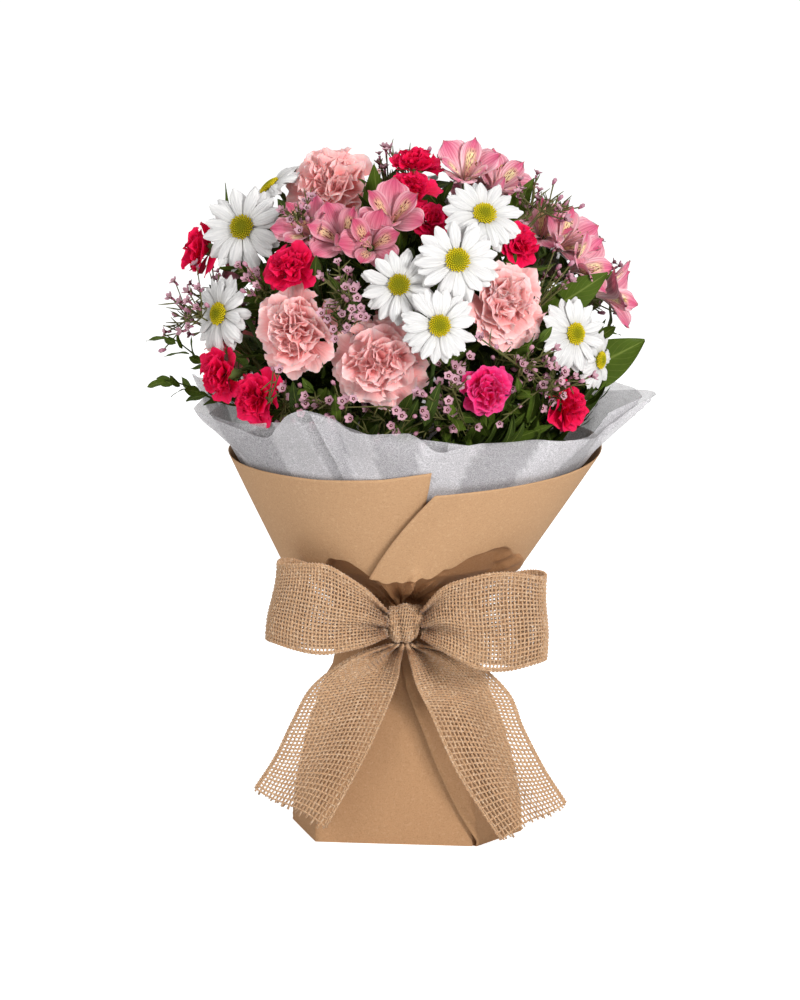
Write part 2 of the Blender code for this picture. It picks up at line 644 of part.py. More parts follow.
def build_spray(name, heads, seats, room, material):
    """Flowers of one spray, joined by their stalks to a fork that sits on the stem."""
    middle = sum((point for point, _, _, _ in seats), Vector()) / len(seats)
    fork = middle - (middle - Vector((0, 0, BIND_HEIGHT))).normalized() * FORK_DEPTH
    base, up = fork_base(fork)
    pieces = heads + [tube((base, fork + up * 0.001), (0.0022, 0.0026), 5, material, (up, up))]
    for point, axis, width, calyx in seats:
        start = point - axis * calyx
        bend = start - axis * 0.008
        pieces.append(tube((fork, bend, start, point + axis * 2 * SEAT),
                           (0.0017, 0.0016, 0.0017, width * 0.8), 4, material,
                           (None, axis)))
        room.add_rod(fork, bend, 0.002)
    fuse(name, pieces)
    return base - up * SEAT, up, 0.0024, 0.004


def build_alstroemeria(name, fork, blooms, draw, material):
    """Cluster of funnel flowers with six pointed petals each, on stalks from one fork."""
    fork = Vector(fork)
    base, way = fork_base(fork)
    pieces = [tube((base, fork + way * 0.002), (0.0022, 0.0030), 5, material, (way, way))]
    for bloom in blooms:
        axis = facing(*bloom.faces)
        half = bloom.width / 2
        place = frame_at(bloom.place, axis, draw.uniform(0, 6))
        pattern = ((0.42, -0.002), (1.0, 0.0015))
        rings = (plain_ring(12, 0.0019, -1.45 * half),
                 petal_ring(6, pattern, (0.0026, -0.88 * half), 44, half * 1.24, 0, draw),
                 plain_ring(12, 0.0022, -0.70 * half))
        pieces.append(layered_head("flower", rings, place, material))
        back = Vector(bloom.place) - axis * 1.45 * half
        pieces.append(tube((fork, back - axis * 0.003, back + axis * 0.001), (0.0014, 0.0014, 0.0014), 3,
                           material,
                           (None, axis)))
    return fuse(name, pieces), base - way * SEAT, way


def fork_base(fork):
    """Point a little below a fork on the way down to the bind, and the direction from it up to the fork."""
    way = (fork - Vector((0, 0, BIND_HEIGHT))).normalized()
    return fork - way * 0.010, way


class Room:
    """The space that flowers and stems already take."""

    def __init__(self):
        self.discs = []
        self.rods = []

    def add_disc(self, place, axis, radius, back, front):
        """A drum round an axis, from back behind the place to front before it."""
        self.discs.append((Vector(place), Vector(axis), radius, back, front))

    def add_rod(self, first, second, radius):
        """A straight rod."""
        self.rods.append((Vector(first), Vector(second), radius))

    def is_clear(self, point, margin, with_rods=True):
        """Whether a point keeps a margin to all that is here."""
        for place, axis, radius, back, front in self.discs:
            offset = point - place
            along = offset.dot(axis)
            if -back - margin < along < front + margin and (offset - axis * along).length < radius + margin:
                return False
        for first, second, radius in self.rods if with_rods else ():
            way = second - first
            share = min(max((point - first).dot(way) / way.length_squared, 0), 1)
            if (point - first - way * share).length < radius + margin:
                return False
        return True

    def line_is_clear(self, first, second, margin, with_rods=True):
        """Whether a straight line keeps a margin to all that is here."""
        steps = max(2, round((second - first).length / 0.004))
        return all(self.is_clear(first.lerp(second, step / steps), margin,
                                 with_rods) for step in range(steps + 1))


def liner_inside(height):
    """Inner radius of the inner liner at a height."""
    if height > RIM_HEIGHT:
        return INNER_LINER[-1][1] + LINER_FLARE * (height - RIM_HEIGHT)
    return between(INNER_LINER, height)


def inside_liner(point, margin):
    """Whether a point is inside the liner, or above where it could reach."""
    if point.z > 0.358:
        return True
    return math.hypot(point.x - rim_shift(point.z), point.y) < liner_inside(point.z) - margin


def build_waxflower(name, fork, gather, spread, count, room, draw, material):
    """Waxflower spray: tiny five-sided flowers that flare at the ends of thin twigs from one fork."""
    fork, gather = Vector(fork), Vector(gather)
    base, up = fork_base(fork)
    pieces = [tube((base, fork + up * 0.001), (0.0018, 0.0021), 5, material, (up, up))]
    flowers = []
    for _ in range(WAX_TRIES):
        if len(flowers) == count:
            break
        shift = Vector((draw.gauss(0, 1), draw.gauss(0, 1), draw.gauss(0, 1)))
        spot = gather + shift * (spread / 2)
        way = (spot - fork).normalized()
        fits = (room.is_clear(spot, TWIG_CLEARANCE + WAX_WIDTH / 2) and inside_liner(spot, 0.008)
                and room.line_is_clear(fork.lerp(spot, 0.15), spot, TWIG_CLEARANCE)
                and all((spot - other).length > WAX_WIDTH * 1.15 for other in flowers))
        if fits:
            flowers.append(spot)
            pieces.append(tube((fork, spot - way * 0.004, spot), (0.0009, 0.0008, WAX_WIDTH / 2), 5,
                               material))
    for spot in flowers:
        room.add_rod(fork, spot, 0.0012)
        room.add_disc(spot, (spot - fork).normalized(), WAX_WIDTH / 2, 0.004, 0.001)
    return fuse(name, pieces), base - up * SEAT, up


def leaf(root, tip, face, width, wave, material):
    """Leaf blade with a waved edge, from its root to its pointed tip."""
    root, tip = Vector(root), Vector(tip)
    along = tip - root
    length = along.length
    x = along / length
    y = Vector(face).cross(x).normalized()
    z = x.cross(y)
    place = Matrix((x, y, z)).transposed().to_4x4()
    place.translation = root
    half = width / 2
    outline = ((0, -0.0012, 0), (0.34 * length, -half, wave), (0.70 * length, -0.74 * half, -wave),
               (length, 0, 0),
               (0.70 * length, 0.74 * half, wave), (0.34 * length, half, -wave), (0, 0.0012, 0))
    return blade(outline, (0.5 * length, 0, -0.03 * length), 0.0018, place, material)


def leaf_is_clear(root, tip, face, width, room):
    """Whether a leaf keeps clear of the flowers and the liner."""
    along = tip - root
    side = Vector(face).cross(along).normalized() * width / 2
    for share, spread in ((0.3, 0.9), (0.56, 1.0), (0.82, 0.6)):
        middle = root + along * share
        for way in (-1, 0, 1):
            spot = middle + side * spread * way
            if not room.is_clear(spot, LEAF_CLEARANCE) or not inside_liner(spot, 0.006):
                return False
    return room.line_is_clear(root, tip, LEAF_CLEARANCE) and inside_liner(tip, 0.006)


def bound_place(index):
    """Where a stem passes the bind: places on a sunflower's spiral."""
    ring = STEM_PITCH * math.sqrt(index + 0.5)
    turn = index * GOLDEN_TURN
    return ring, turn


def stem_foot(index):
    """Spiral stem from its cut end on the ground to its place in the bind."""
    ring, turn = bound_place(index)
    wide = FOOT_SPREAD * ring
    return (Vector((wide * math.cos(turn + FOOT_TURN), wide * math.sin(turn + FOOT_TURN), 0)),
            Vector((ring * math.cos(turn), ring * math.sin(turn), BIND_HEIGHT)))


def bind_order(targets):
    """Give each stem the free place in the bind that lies nearest the way to its flower."""
    free = list(range(len(targets)))
    order = {}
    for key in sorted(range(len(targets)), key=lambda item: -math.hypot(targets[item].x, targets[item].y)):
        way = math.atan2(targets[key].y, targets[key].x)
        far = math.hypot(targets[key].x, targets[key].y) / 0.16 * STEM_PITCH * math.sqrt(len(targets))

        def miss(place):
            ring, turn = bound_place(place)
            return math.hypot(ring * math.cos(turn) - far * math.cos(way),
                              ring * math.sin(turn) - far * math.sin(way))

        best = min(free, key=miss)
        free.remove(best)
        order[key] = best
    return order


def build_bind(material):
    """Place where the stems are pressed together, filled out to the twine."""
    bm = bmesh.new()
    bmesh.ops.create_cone(bm, cap_ends=True, segments=TWINE_COLUMNS, radius1=BIND_RADIUS,
                          radius2=BIND_RADIUS,
                          depth=2 * BIND_HALF, matrix=Matrix.Translation((0, 0, BIND_HEIGHT)))
    return add_object("bind", bm, material)


def build_stems(tops, room, draw, stem):
    """All stems, bound together, with calyxes and leaves; tops holds the flower seats of each stem."""
    targets = [sum((seat[0] for seat in seats), Vector()) / len(seats) for seats in tops]
    order = bind_order(targets)
    pieces = [build_bind(stem)]
    runs = []
    for key, seats in enumerate(tops):
        foot, bound = stem_foot(order[key])
        if len(seats) == 1:
            point, axis, width, calyx = seats[0]
            start = point - axis * calyx
            neck = start - axis * 0.018
            pieces.append(tube((foot, bound, neck, start, point),
                               (STEM_RADIUS, STEM_RADIUS, STEM_RADIUS, 0.0018, width),
                               4, stem, ((0, 0, 1), axis)))
            runs.append((bound.lerp(neck, 0.55), neck))
            continue
        way = (targets[key] - Vector((0, 0, BIND_HEIGHT))).normalized()
        fork = targets[key] - way * FORK_DEPTH
        pieces.append(tube((foot, bound, fork), (STEM_RADIUS, STEM_RADIUS, 0.0022), 4, stem,
                           ((0, 0, 1), None)))
        runs.append((bound.lerp(fork, 0.5), fork))
        for point, axis, width, calyx in seats:
            start = point - axis * calyx
            bend = start - axis * 0.010
            pieces.append(tube((fork, bend, start, point), (0.0019, 0.0017, 0.0017, width), 4, stem,
                               (None, axis)))
            runs.append((fork, bend))
    for root, tip, face, width in SET_LEAVES:
        root, tip = Vector(root), Vector(tip)
        low = min(runs, key=lambda run: (run[1] - root).length)[1]
        pieces.append(tube((low, root.lerp(tip, 0.06)), (0.0016, 0.0012), 4, stem))
        pieces.append(leaf(root, tip, facing(*face), width, 0.0014, stem))
    grown = 0
    for _ in range(LEAF_TRIES):
        if grown == LEAVES:
            break
        low, high = runs[draw.randrange(len(runs))]
        root = low.lerp(high, draw.uniform(0.35, 1.0))
        outward = (root - Vector((0, 0, 0.30))).normalized()
        way = (outward + Vector((draw.gauss(0, 0.35), draw.gauss(0, 0.35),
                                 draw.gauss(0, 0.35)))).normalized()
        length = draw.uniform(0.045, 0.070)
        tip = root + way * length
        face = way.orthogonal()
        face.rotate(Matrix.Rotation(draw.uniform(0, math.pi), 3, way))
        width = length * draw.uniform(0.26, 0.36)
        if tip.z > 0.33 and leaf_is_clear(root.lerp(tip, 0.18), tip, face, width, room):
            pieces.append(leaf(root, tip, face, width, 0.0012, stem))
            room.add_rod(root.lerp(tip, 0.5), tip, width / 4)
            grown += 1
    return fuse("stems_and_leaves", pieces)


def main():
    """Build the whole bouquet."""
    for thing in list(bpy.data.objects):
        bpy.data.objects.remove(thing)
    paper = finish("kraft_paper", (0.60, 0.36, 0.19), 0.75)
    fibre = finish("nonwoven", (0.86, 0.88, 0.90), 0.60)
    burlap = finish("burlap", (0.52, 0.32, 0.16), 0.90)
    jute = finish("twine", (0.45, 0.33, 0.18), 0.90)
    white = finish("daisy_petal", (0.90, 0.91, 0.92), 0.55)
    yellow = finish("daisy_disc", (0.70, 0.62, 0.05), 0.70)
    pink = finish("carnation_petal", (0.88, 0.42, 0.42), 0.60)
    crimson = finish("crimson_petal", (0.68, 0.01, 0.09), 0.55)
    rose = finish("alstroemeria_petal", (0.76, 0.22, 0.32), 0.50)
    pale = finish("waxflower", (0.78, 0.56, 0.68), 0.60)
    stem = finish("stem", (0.14, 0.24, 0.07), 0.60)
    draw = random.Random(SEED)
    room = Room()

    build_paper(paper)
    build_liner("liner_outer", OUTER_LINER, OUTER_LINER_EDGE, fibre)
    build_liner("liner_inner", INNER_LINER, INNER_LINER_EDGE, fibre)
    twine = ((-TWINE_RADIUS, 0), (0, -TWINE_RADIUS), (TWINE_RADIUS, 0), (0, TWINE_RADIUS))
    build_ring("twine_tie", TWINE_RING, twine,
               BIND_HEIGHT, TWINE_COLUMNS, jute)
    band = ((0, -BAND_HALF), (BAND_THICKNESS * 0.8, -BAND_HALF), (BAND_THICKNESS, 0),
            (BAND_THICKNESS * 0.8, BAND_HALF), (0, BAND_HALF))
    build_ring("ribbon_band", BAND_RADIUS, band, BIND_HEIGHT, BAND_COLUMNS, burlap)
    build_knot(burlap)
    build_loop("bow_loop_left", LOOP_LEFT, burlap)
    build_loop("bow_loop_right", LOOP_RIGHT, burlap)
    build_tail("bow_tail_left", TAIL_LEFT, burlap)
    build_tail("bow_tail_right", TAIL_RIGHT, burlap)

    seats = {}
    for group in DAISIES + tuple((bloom,) for bloom in CARNATIONS) + SPRAY_CARNATIONS:
        name = group[0].name
        kind = name.rsplit("_", 1)[0]
        heads = []
        held = []
        for bloom in group:
            axis = facing(*bloom.faces)
            half = bloom.width / 2
            if kind == "daisy":
                heads.append(build_daisy(bloom, draw, white))
                build_disc(bloom, yellow)
                depth, width, calyx = DAISY_SEAT, 0.0034, 0.004
                room.add_disc(bloom.place, axis, half, 0.006, 0.006)
            else:
                large = kind == "carnation"
                heads.append(build_ruffled(bloom, large, draw, pink if large else crimson))
                depth, width, calyx = RUFFLED_SEAT * half, 0.14 * half, 0.022 if large else 0.014
                room.add_disc(bloom.place, axis, half, 0.70 * half, 0.002)
                room.add_disc(bloom.place, axis, half / 3, 1.30 * half, 0.002)
            held.append((Vector(bloom.place) - axis * (depth + SEAT), axis, width, calyx))
        name = name + "_petals" if kind == "daisy" else name
        if len(group) > 1:
            held = [build_spray(name, heads, held, room, white if kind == "daisy" else crimson)]
        else:
            heads[0].name = name
        seats[group[0].name] = held
    for name, fork, blooms in ALSTROEMERIAS:
        _, point, axis = build_alstroemeria(name, fork, blooms, draw, rose)
        seats[name] = [(point, axis, 0.0022, 0.004)]
        for bloom in blooms:
            room.add_disc(bloom.place, facing(*bloom.faces), bloom.width / 2, 0.60 * bloom.width / 2, 0.002)
            room.add_rod(fork, Vector(bloom.place) - facing(*bloom.faces) * bloom.width / 2, 0.0028)
    for name, fork, gather, spread, count in WAXFLOWERS:
        _, point, axis = build_waxflower(name, fork, gather, spread, count, room, draw, pale)
        seats[name] = [(point, axis, 0.0018, 0.004)]
    for first, second in SHARED_STEMS:
        seats[first] += seats.pop(second)
    build_stems(list(seats.values()), room, draw, stem)


main()
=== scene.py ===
"""Mixed flower bouquet in kraft paper with a burlap bow: the finished look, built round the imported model."""
import logging
import random
from dataclasses import dataclass, field
from enum import Enum
from math import asin, atan2, cos, degrees, exp, hypot, pi, radians, sin, sqrt, tau
from typing import Callable, Iterable, Optional, Sequence

import bmesh
import bpy
from bpy.types import Material, Mesh, Node, NodeSocket, NodeTree, Object
from mathutils import Matrix, Vector, noise


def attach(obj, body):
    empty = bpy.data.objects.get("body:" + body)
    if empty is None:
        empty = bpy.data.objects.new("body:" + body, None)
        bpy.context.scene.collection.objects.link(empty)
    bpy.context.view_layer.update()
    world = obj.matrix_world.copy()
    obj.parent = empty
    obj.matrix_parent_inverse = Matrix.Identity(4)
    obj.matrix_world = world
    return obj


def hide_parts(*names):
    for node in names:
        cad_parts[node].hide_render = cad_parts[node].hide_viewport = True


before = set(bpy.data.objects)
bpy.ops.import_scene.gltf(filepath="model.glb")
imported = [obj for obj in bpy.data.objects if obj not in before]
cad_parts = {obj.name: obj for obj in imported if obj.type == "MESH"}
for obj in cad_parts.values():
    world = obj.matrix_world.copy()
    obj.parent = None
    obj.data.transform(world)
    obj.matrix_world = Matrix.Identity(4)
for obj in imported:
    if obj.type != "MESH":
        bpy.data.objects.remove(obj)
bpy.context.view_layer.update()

log = logging.getLogger("bouquet")
Colour = tuple[float, float, float]
Stops = Sequence[tuple[float, Colour]]
Shape = Callable[[float, float], Vector]
PLAIN: Colour = (0.0, 0.0, 0.0)

# Wrapper in metres, as the solids have it: rim, crease and waist
RIM_HEIGHT = 0.293
RIM_RADIUS = 0.137
RIM_SHIFT = 0.008
CREASE_HEIGHT = 0.210
CREASE_RADIUS = 0.090
WAIST_TOP = 0.182
WAIST_BOTTOM = 0.160
WAIST_RADIUS = 0.040
WAIST_VALLEY = 0.0270
SKIRT_FULLNESS = 1.8
PAPER_STEP = 0.0032
LINER_ROOM = 0.0040
PLEATS = 9.5
HEM_WIDTH = 0.007
FOOT_CORNERS = ((-0.082, 0.027), (-0.064, -0.041), (0.052, -0.055), (0.088, -0.008), (0.055, 0.055),
                (-0.055, 0.060))
OVERLAP_EDGE = ((0.0, 45), (0.048, 30), (0.085, 18), (0.12, 4), (0.171, -8), (CREASE_HEIGHT, -16),
                (RIM_HEIGHT, 9))
OVERLAP_DEPTH = ((0.0, 20), (CREASE_HEIGHT, 20), (RIM_HEIGHT, -4))
RIM_LINE = ((0, 0.304), (0.04, 0.298), (0.1, 0.294), (0.25, 0.292), (0.5, 0.296), (0.73, 0.2975),
            (0.85, 0.291), (1, 0.286))

# Liners, as the solids have them
INNER_LINER = ((0.169, 0.0197), (0.184, 0.0244), (0.215, 0.078), (RIM_HEIGHT, 0.130))
OUTER_LINER = ((0.169, 0.0210), (0.183, 0.0257), (0.2135, 0.0797), (RIM_HEIGHT, 0.1335))
LINER_FLARE = 0.56
PLEAT_FAN = 210
OUTER_LINER_EDGE = ((-180, 0.331), (-140, 0.340), (-115, 0.330), (-90, 0.350), (-70, 0.334), (-49, 0.321),
                    (-29, 0.353), (-16, 0.338), (-3, 0.338), (6, 0.321), (16, 0.330), (30, 0.327),
                    (45, 0.321), (68, 0.315), (90, 0.337), (112, 0.327), (145, 0.342), (180, 0.331))
INNER_LINER_EDGE = ((-180, 0.341), (-150, 0.326), (-115, 0.342), (-90, 0.338), (-60, 0.328), (-29, 0.341),
                    (0, 0.330), (24, 0.325), (50, 0.318), (75, 0.328), (95, 0.337), (130, 0.340),
                    (160, 0.328), (180, 0.341))

# Burlap ribbon, as the solids have it
BAND_RADIUS = 0.0456
KNOT_HALF = Vector((0.0118, 0.0160, 0.0150))
KNOT_CENTRE = Vector((0.002, -0.0630, 0.1735))
LOOP_LEFT = ((-0.0104, -0.0690, 0.166, 0.185), (-0.030, -0.090, 0.1620, 0.209),
             (-0.055, -0.1025, 0.1610, 0.2245), (-0.080, -0.0985, 0.163, 0.2255),
             (-0.098, -0.084, 0.164, 0.2235), (-0.0985, -0.070, 0.164, 0.2235),
             (-0.084, -0.0640, 0.159, 0.2195), (-0.058, -0.0850, 0.159, 0.2165),
             (-0.030, -0.0800, 0.160, 0.203), (-0.0104, -0.0590, 0.167, 0.182))
LOOP_RIGHT = ((0.01435, -0.0690, 0.165, 0.185), (0.032, -0.090, 0.158, 0.2085),
              (0.055, -0.102, 0.150, 0.2175), (0.080, -0.099, 0.1475, 0.2190),
              (0.1035, -0.086, 0.149, 0.2150), (0.1045, -0.071, 0.149, 0.2140),
              (0.088, -0.062, 0.143, 0.211), (0.060, -0.072, 0.146, 0.208),
              (0.034, -0.0745, 0.154, 0.199), (0.01435, -0.0590, 0.167, 0.182))
TAIL_LEFT = ((-0.008, 0.1579, 0.001, 0.1579, -0.060), (-0.038, 0.149, -0.002, 0.145, -0.064),
             (-0.066, 0.127, -0.004, 0.132, -0.064), (-0.081, 0.100, -0.013, 0.107, -0.062),
             (-0.094, 0.073, -0.030, 0.068, -0.061), (-0.1095, 0.0484, -0.057, 0.018, -0.062))
TAIL_RIGHT = ((0.003, 0.1578, 0.012, 0.1578, -0.060), (0.007, 0.145, 0.048, 0.149, -0.064),
              (0.012, 0.127, 0.078, 0.124, -0.067), (0.022, 0.106, 0.090, 0.096, -0.067),
              (0.042, 0.062, 0.106, 0.064, -0.068), (0.074, 0.0105, 0.122, 0.0385, -0.068))
RIBBON_WIDTH = 0.0635
THREAD_PITCH = 0.00290
THREAD_RADIUS = 0.00076
THREAD_RISE = 0.00052
EDGE_CORD = 0.0009
EDGE_YARN = 0.00045
EDGE_REACH = 0.00115

# Stems
BIND_HEIGHT = 0.171
STEM_PITCH = 0.0026
STEM_RADIUS = 0.0019
STALK_RADIUS = 0.0017
FOOT_SPREAD = 2.3
FOOT_TURN = radians(60)
FORK_DEPTH = 0.070
GOLDEN_TURN = radians(137.508)
TWINE_RING = 0.0181
TWINE_RADIUS = 0.0011
DAISY_SEAT = 0.0032
RUFFLED_SEAT = 0.86
SEAT = 0.0003
SEED = 11


class Kind(Enum):
    """Kinds of carnation, each with its material slot."""
    LARGE = "carnation_petal"
    SPRAY = "crimson_petal"


@dataclass(frozen=True)
class Bloom:
    """A bloom: the middle of its face, the azimuth and elevation it faces in degrees, and its width."""
    middle: tuple[int, int, int]
    faces: tuple[int, int]
    width: int
    name: str = ""

    @property
    def place(self) -> Vector:
        """Middle of the bloom's face, in metres."""
        return metres(self.middle)

    @property
    def axis(self) -> Vector:
        """Direction that the bloom faces."""
        return facing(*self.faces)

    @property
    def half(self) -> float:
        """Half the bloom's width, in metres."""
        return self.width / 1000 / 2


@dataclass(frozen=True)
class Seat:
    """Where a flower or spray sits on its stem, the direction it faces, and how long its calyx is."""
    point: Vector
    axis: Vector
    calyx: float

    def below(self, distance: float) -> Vector:
        """Point at a distance under the calyx."""
        return self.point - self.axis * (self.calyx + distance)


# All flowers and leaves, with places and widths in millimetres
DAISIES = (
    (Bloom((-2, -122, 439), (-5, 25), 58, "daisy_03"),
     Bloom((40, -126, 458), (8, 22), 65, "daisy_04"),
     Bloom((60, -86, 485), (15, 40), 62, "daisy_05"),
     Bloom((27, -146, 414), (5, 8), 58, "daisy_06")),
    (Bloom((126, -88, 397), (38, 10), 58, "daisy_07"),
     Bloom((145, -54, 371), (62, 0), 46, "daisy_08")),
    (Bloom((-118, -24, 465), (-22, 22), 66, "daisy_01"),),
    (Bloom((-134, -62, 407), (-50, 12), 60, "daisy_02"),),
    (Bloom((-98, 30, 486), (-84, 50), 60, "daisy_09"),),
    (Bloom((108, 80, 430), (125, 28), 64, "daisy_10"),),
    (Bloom((8, 92, 473), (172, 48), 66, "daisy_11"),),
    (Bloom((-82, 116, 404), (-145, 20), 62, "daisy_12"),),
    (Bloom((60, 133, 366), (158, 6), 64, "daisy_13"),),
)
CARNATIONS = (
    Bloom((-56, 4, 498), (-26, 40), 75, "carnation_01"),
    Bloom((-83, -110, 405), (-28, 15), 68, "carnation_02"),
    Bloom((-18, -130, 382), (-5, 5), 68, "carnation_03"),
    Bloom((81, -106, 427), (28, 28), 66, "carnation_04"),
    Bloom((30, 126, 412), (168, 25), 68, "carnation_05"),
    Bloom((-138, 65, 366), (-118, 8), 68, "carnation_06"),
    Bloom((-24, 142, 354), (-172, 4), 66, "carnation_07"),
)
SPRAY_CARNATIONS = (
    (Bloom((-157, 5, 447), (-88, 15), 48, "spray_carnation_01"),),
    (Bloom((10, -5, 516), (0, 75), 42, "spray_carnation_02"),
     Bloom((6, -38, 501), (-5, 55), 42), Bloom((22, -64, 482), (5, 50), 38)),
    (Bloom((-87, -90, 450), (-35, 34), 45, "spray_carnation_03"),),
    (Bloom((-140, -78, 365), (-55, 5), 45, "spray_carnation_04"),
     Bloom((-112, -99, 350), (-40, -2), 45)),
    (Bloom((89, -72, 463), (45, 30), 40, "spray_carnation_05"),),
    (Bloom((64, -130, 362), (22, 2), 43, "spray_carnation_06"),),
    (Bloom((128, -81, 340), (60, 0), 42, "spray_carnation_07"),),
    (Bloom((134, 70, 368), (115, 8), 44, "spray_carnation_08"),
     Bloom((104, 96, 374), (140, 8), 44)),
    (Bloom((-44, 70, 478), (-150, 56), 43, "spray_carnation_09"),
     Bloom((-36, 98, 452), (-165, 40), 43)),
)
ALSTROEMERIAS = (
    ("alstroemeria_01", (-36, -42, 415),
     (Bloom((-48, -80, 472), (-20, 38), 46), Bloom((-8, -74, 488), (0, 45), 46),
      Bloom((-23, -96, 468), (0, 28), 44), Bloom((-74, -60, 475), (-35, 38), 44))),
    ("alstroemeria_02", (50, 12, 452),
     (Bloom((48, -4, 511), (5, 55), 46), Bloom((76, 10, 499), (40, 50), 44))),
    ("alstroemeria_03", (96, -6, 408),
     (Bloom((127, -14, 457), (40, 35), 46), Bloom((106, -2, 465), (10, 45), 44),
      Bloom((141, -28, 440), (60, 20), 44), Bloom((165, -8, 414), (78, 5), 48))),
    ("alstroemeria_04", (-74, 48, 412),
     (Bloom((-112, 66, 449), (-120, 32), 46), Bloom((-84, 90, 446), (-145, 35), 46),
      Bloom((-130, 36, 424), (-100, 20), 44))),
    ("alstroemeria_05", (56, 52, 425),
     (Bloom((88, 54, 470), (110, 45), 46), Bloom((58, 88, 466), (150, 42), 46),
      Bloom((56, 50, 490), (130, 70), 44))),
)
# Alstroemeria heads on the left, away from the light, painted darker as shade
SHADED_CLUSTERS = ("alstroemeria_01", "alstroemeria_04")
DULL_DAISIES = ("daisy_01", "daisy_03", "daisy_11")
MAGENTA = ("spray_carnation_06",)
CALYX_LENGTH = {Kind.LARGE: 0.022, Kind.SPRAY: 0.014}
# Petals of a carnation: faces across and along one, then count and slopes at root and rim of each layer
PETAL_LAYERS = {
    Kind.LARGE: (20, 7, ((6, 22, -18), (6, 32, 2), (6, 44, 20), (6, 56, 38), (6, 66, 52), (6, 76, 68),
                         (5, 86, 84), (4, 94, 100))),
    Kind.SPRAY: (14, 6, ((5, 24, -10), (6, 40, 16), (6, 56, 38), (5, 72, 58), (5, 84, 80), (3, 94, 100))),
}
# Waxflower: node, the fork of the spray, the point its flowers gather round, spread, and count
WAXFLOWERS = (
    ("waxflower_01", (-118, 0, 375), (-154, 2, 402), 34, 26),
    ("waxflower_02", (-36, -80, 398), (-42, -116, 430), 30, 22),
    ("waxflower_03", (71, -30, 445), (109, -25, 489), 30, 22),
    ("waxflower_04", (80, -80, 355), (100, -114, 380), 34, 26),
    ("waxflower_05", (-12, -80, 320), (-12, -134, 342), 44, 26),
    ("waxflower_06", (-12, 36, 440), (-8, 46, 506), 32, 22),
)
# More waxflower between the blooms, in the nodes of the sprays it stands beside
WAX_FILL = (
    ("waxflower_01", (-110, -40, 370), (-154, -58, 424), 22, 16),
    ("waxflower_01", (-90, -60, 340), (-98, -122, 352), 26, 14),
    ("waxflower_02", (-60, -50, 420), (-66, -78, 490), 22, 12),
    ("waxflower_02", (-30, -70, 330), (-58, -130, 344), 26, 18),
    ("waxflower_04", (60, -70, 350), (98, -92, 440), 24, 16),
    ("waxflower_04", (60, -70, 320), (34, -140, 352), 26, 18),
    ("waxflower_04", (80, -60, 330), (116, -104, 358), 26, 18),
    ("waxflower_03", (90, 20, 400), (150, 26, 420), 30, 16),
    ("waxflower_06", (30, 60, 420), (36, 120, 440), 30, 18),
    ("waxflower_06", (-50, 80, 400), (-64, 126, 420), 30, 16),
    ("waxflower_06", (20, 80, 340), (18, 136, 366), 30, 16),
    ("waxflower_01", (-90, 60, 360), (-120, 98, 388), 30, 16),
    ("waxflower_03", (80, 70, 350), (112, 104, 400), 30, 16),
    ("waxflower_02", (-50, -60, 400), (-40, -128, 420), 22, 16),
    ("waxflower_01", (-100, -30, 400), (-104, -86, 436), 16, 12),
    ("waxflower_04", (40, -80, 340), (40, -136, 380), 22, 14),
)
SHARED_STEMS = (("daisy_01", "daisy_09"), ("daisy_10", "daisy_13"), ("daisy_11", "daisy_12"),
                ("spray_carnation_06", "spray_carnation_07"), ("alstroemeria_02", "alstroemeria_03"),
                ("waxflower_02", "waxflower_05"))
# Large leaves: root, tip, direction the blade faces, width
SET_LEAVES = (
    ((120, 0, 345), (181, -6, 377), (20, 10), 36),
    ((-10, -4, 440), (-21, -25, 512), (-20, 20), 28),
    ((-112, 12, 420), (-132, 16, 492), (-60, 20), 14),
    ((120, 30, 390), (160, 46, 420), (100, 40), 28),
    ((-56, 98, 340), (-98, 124, 368), (-140, 30), 28),
    ((100, -40, 400), (152, -40, 434), (30, 20), 26),
    ((60, 0, 440), (98, -12, 500), (10, 20), 22),
)
SPRIGS = (
    ((-116, -30, 340), (-178, -20, 384)),
    ((-116, -34, 332), (-180, -34, 352)),
    ((60, -60, 330), (104, -120, 402)),
    ((60, -70, 320), (90, -128, 366)),
    ((20, -70, 310), (40, -142, 346)),
    ((-40, -70, 320), (-70, -128, 366)),
    ((110, 60, 330), (160, 84, 372)),
    ((-90, 70, 330), (-140, 104, 372)),
)
FILL_LEAVES = 1150
FILL_TRIES = 26000
LOW_TRIES = 420
LEAF_ROOM = 0.006
BUD_SHARE = 0.28
WAX_GAP = 0.0070
DOME_CENTRE = Vector((0.0, -0.004, 0.385))
DOME_SIZE = Vector((0.160, 0.146, 0.128))


def metres(place: Sequence[float]) -> Vector:
    """Place that is given in millimetres."""
    return Vector([value / 1000 for value in place])


def facing(azimuth: float, elevation: float) -> Vector:
    """Direction from an azimuth, counted from the front towards +X, and an elevation, both in degrees."""
    turn, rise = radians(azimuth), radians(elevation)
    return Vector((sin(turn) * cos(rise), -cos(turn) * cos(rise), sin(rise)))


def frame_at(place: Vector, axis: Vector, roll: float = 0.0) -> Matrix:
    """Matrix that puts a shape built along +Z at a place, facing an axis and rolled about it."""
    turn = Vector((0, 0, 1)).rotation_difference(axis).to_matrix().to_4x4()
    return Matrix.Translation(place) @ turn @ Matrix.Rotation(roll, 4, "Z")


def between(table: Sequence[tuple[float, float]], value: float) -> float:
    """Straight interpolation in a table of (value, result) pairs.

    Args:
        table: pairs in rising order.
        value: where to read it.

    Returns:
        The result there.
    """
    if value <= table[0][0]:
        return table[0][1]
    for (low, first), (high, second) in zip(table, table[1:]):
        if value <= high:
            return first + (second - first) * (value - low) / (high - low)
    return table[-1][1]


def ease(value: float) -> float:
    """Smooth step from 0 to 1."""
    held = min(1.0, max(0.0, value))
    return held * held * (3 - 2 * held)


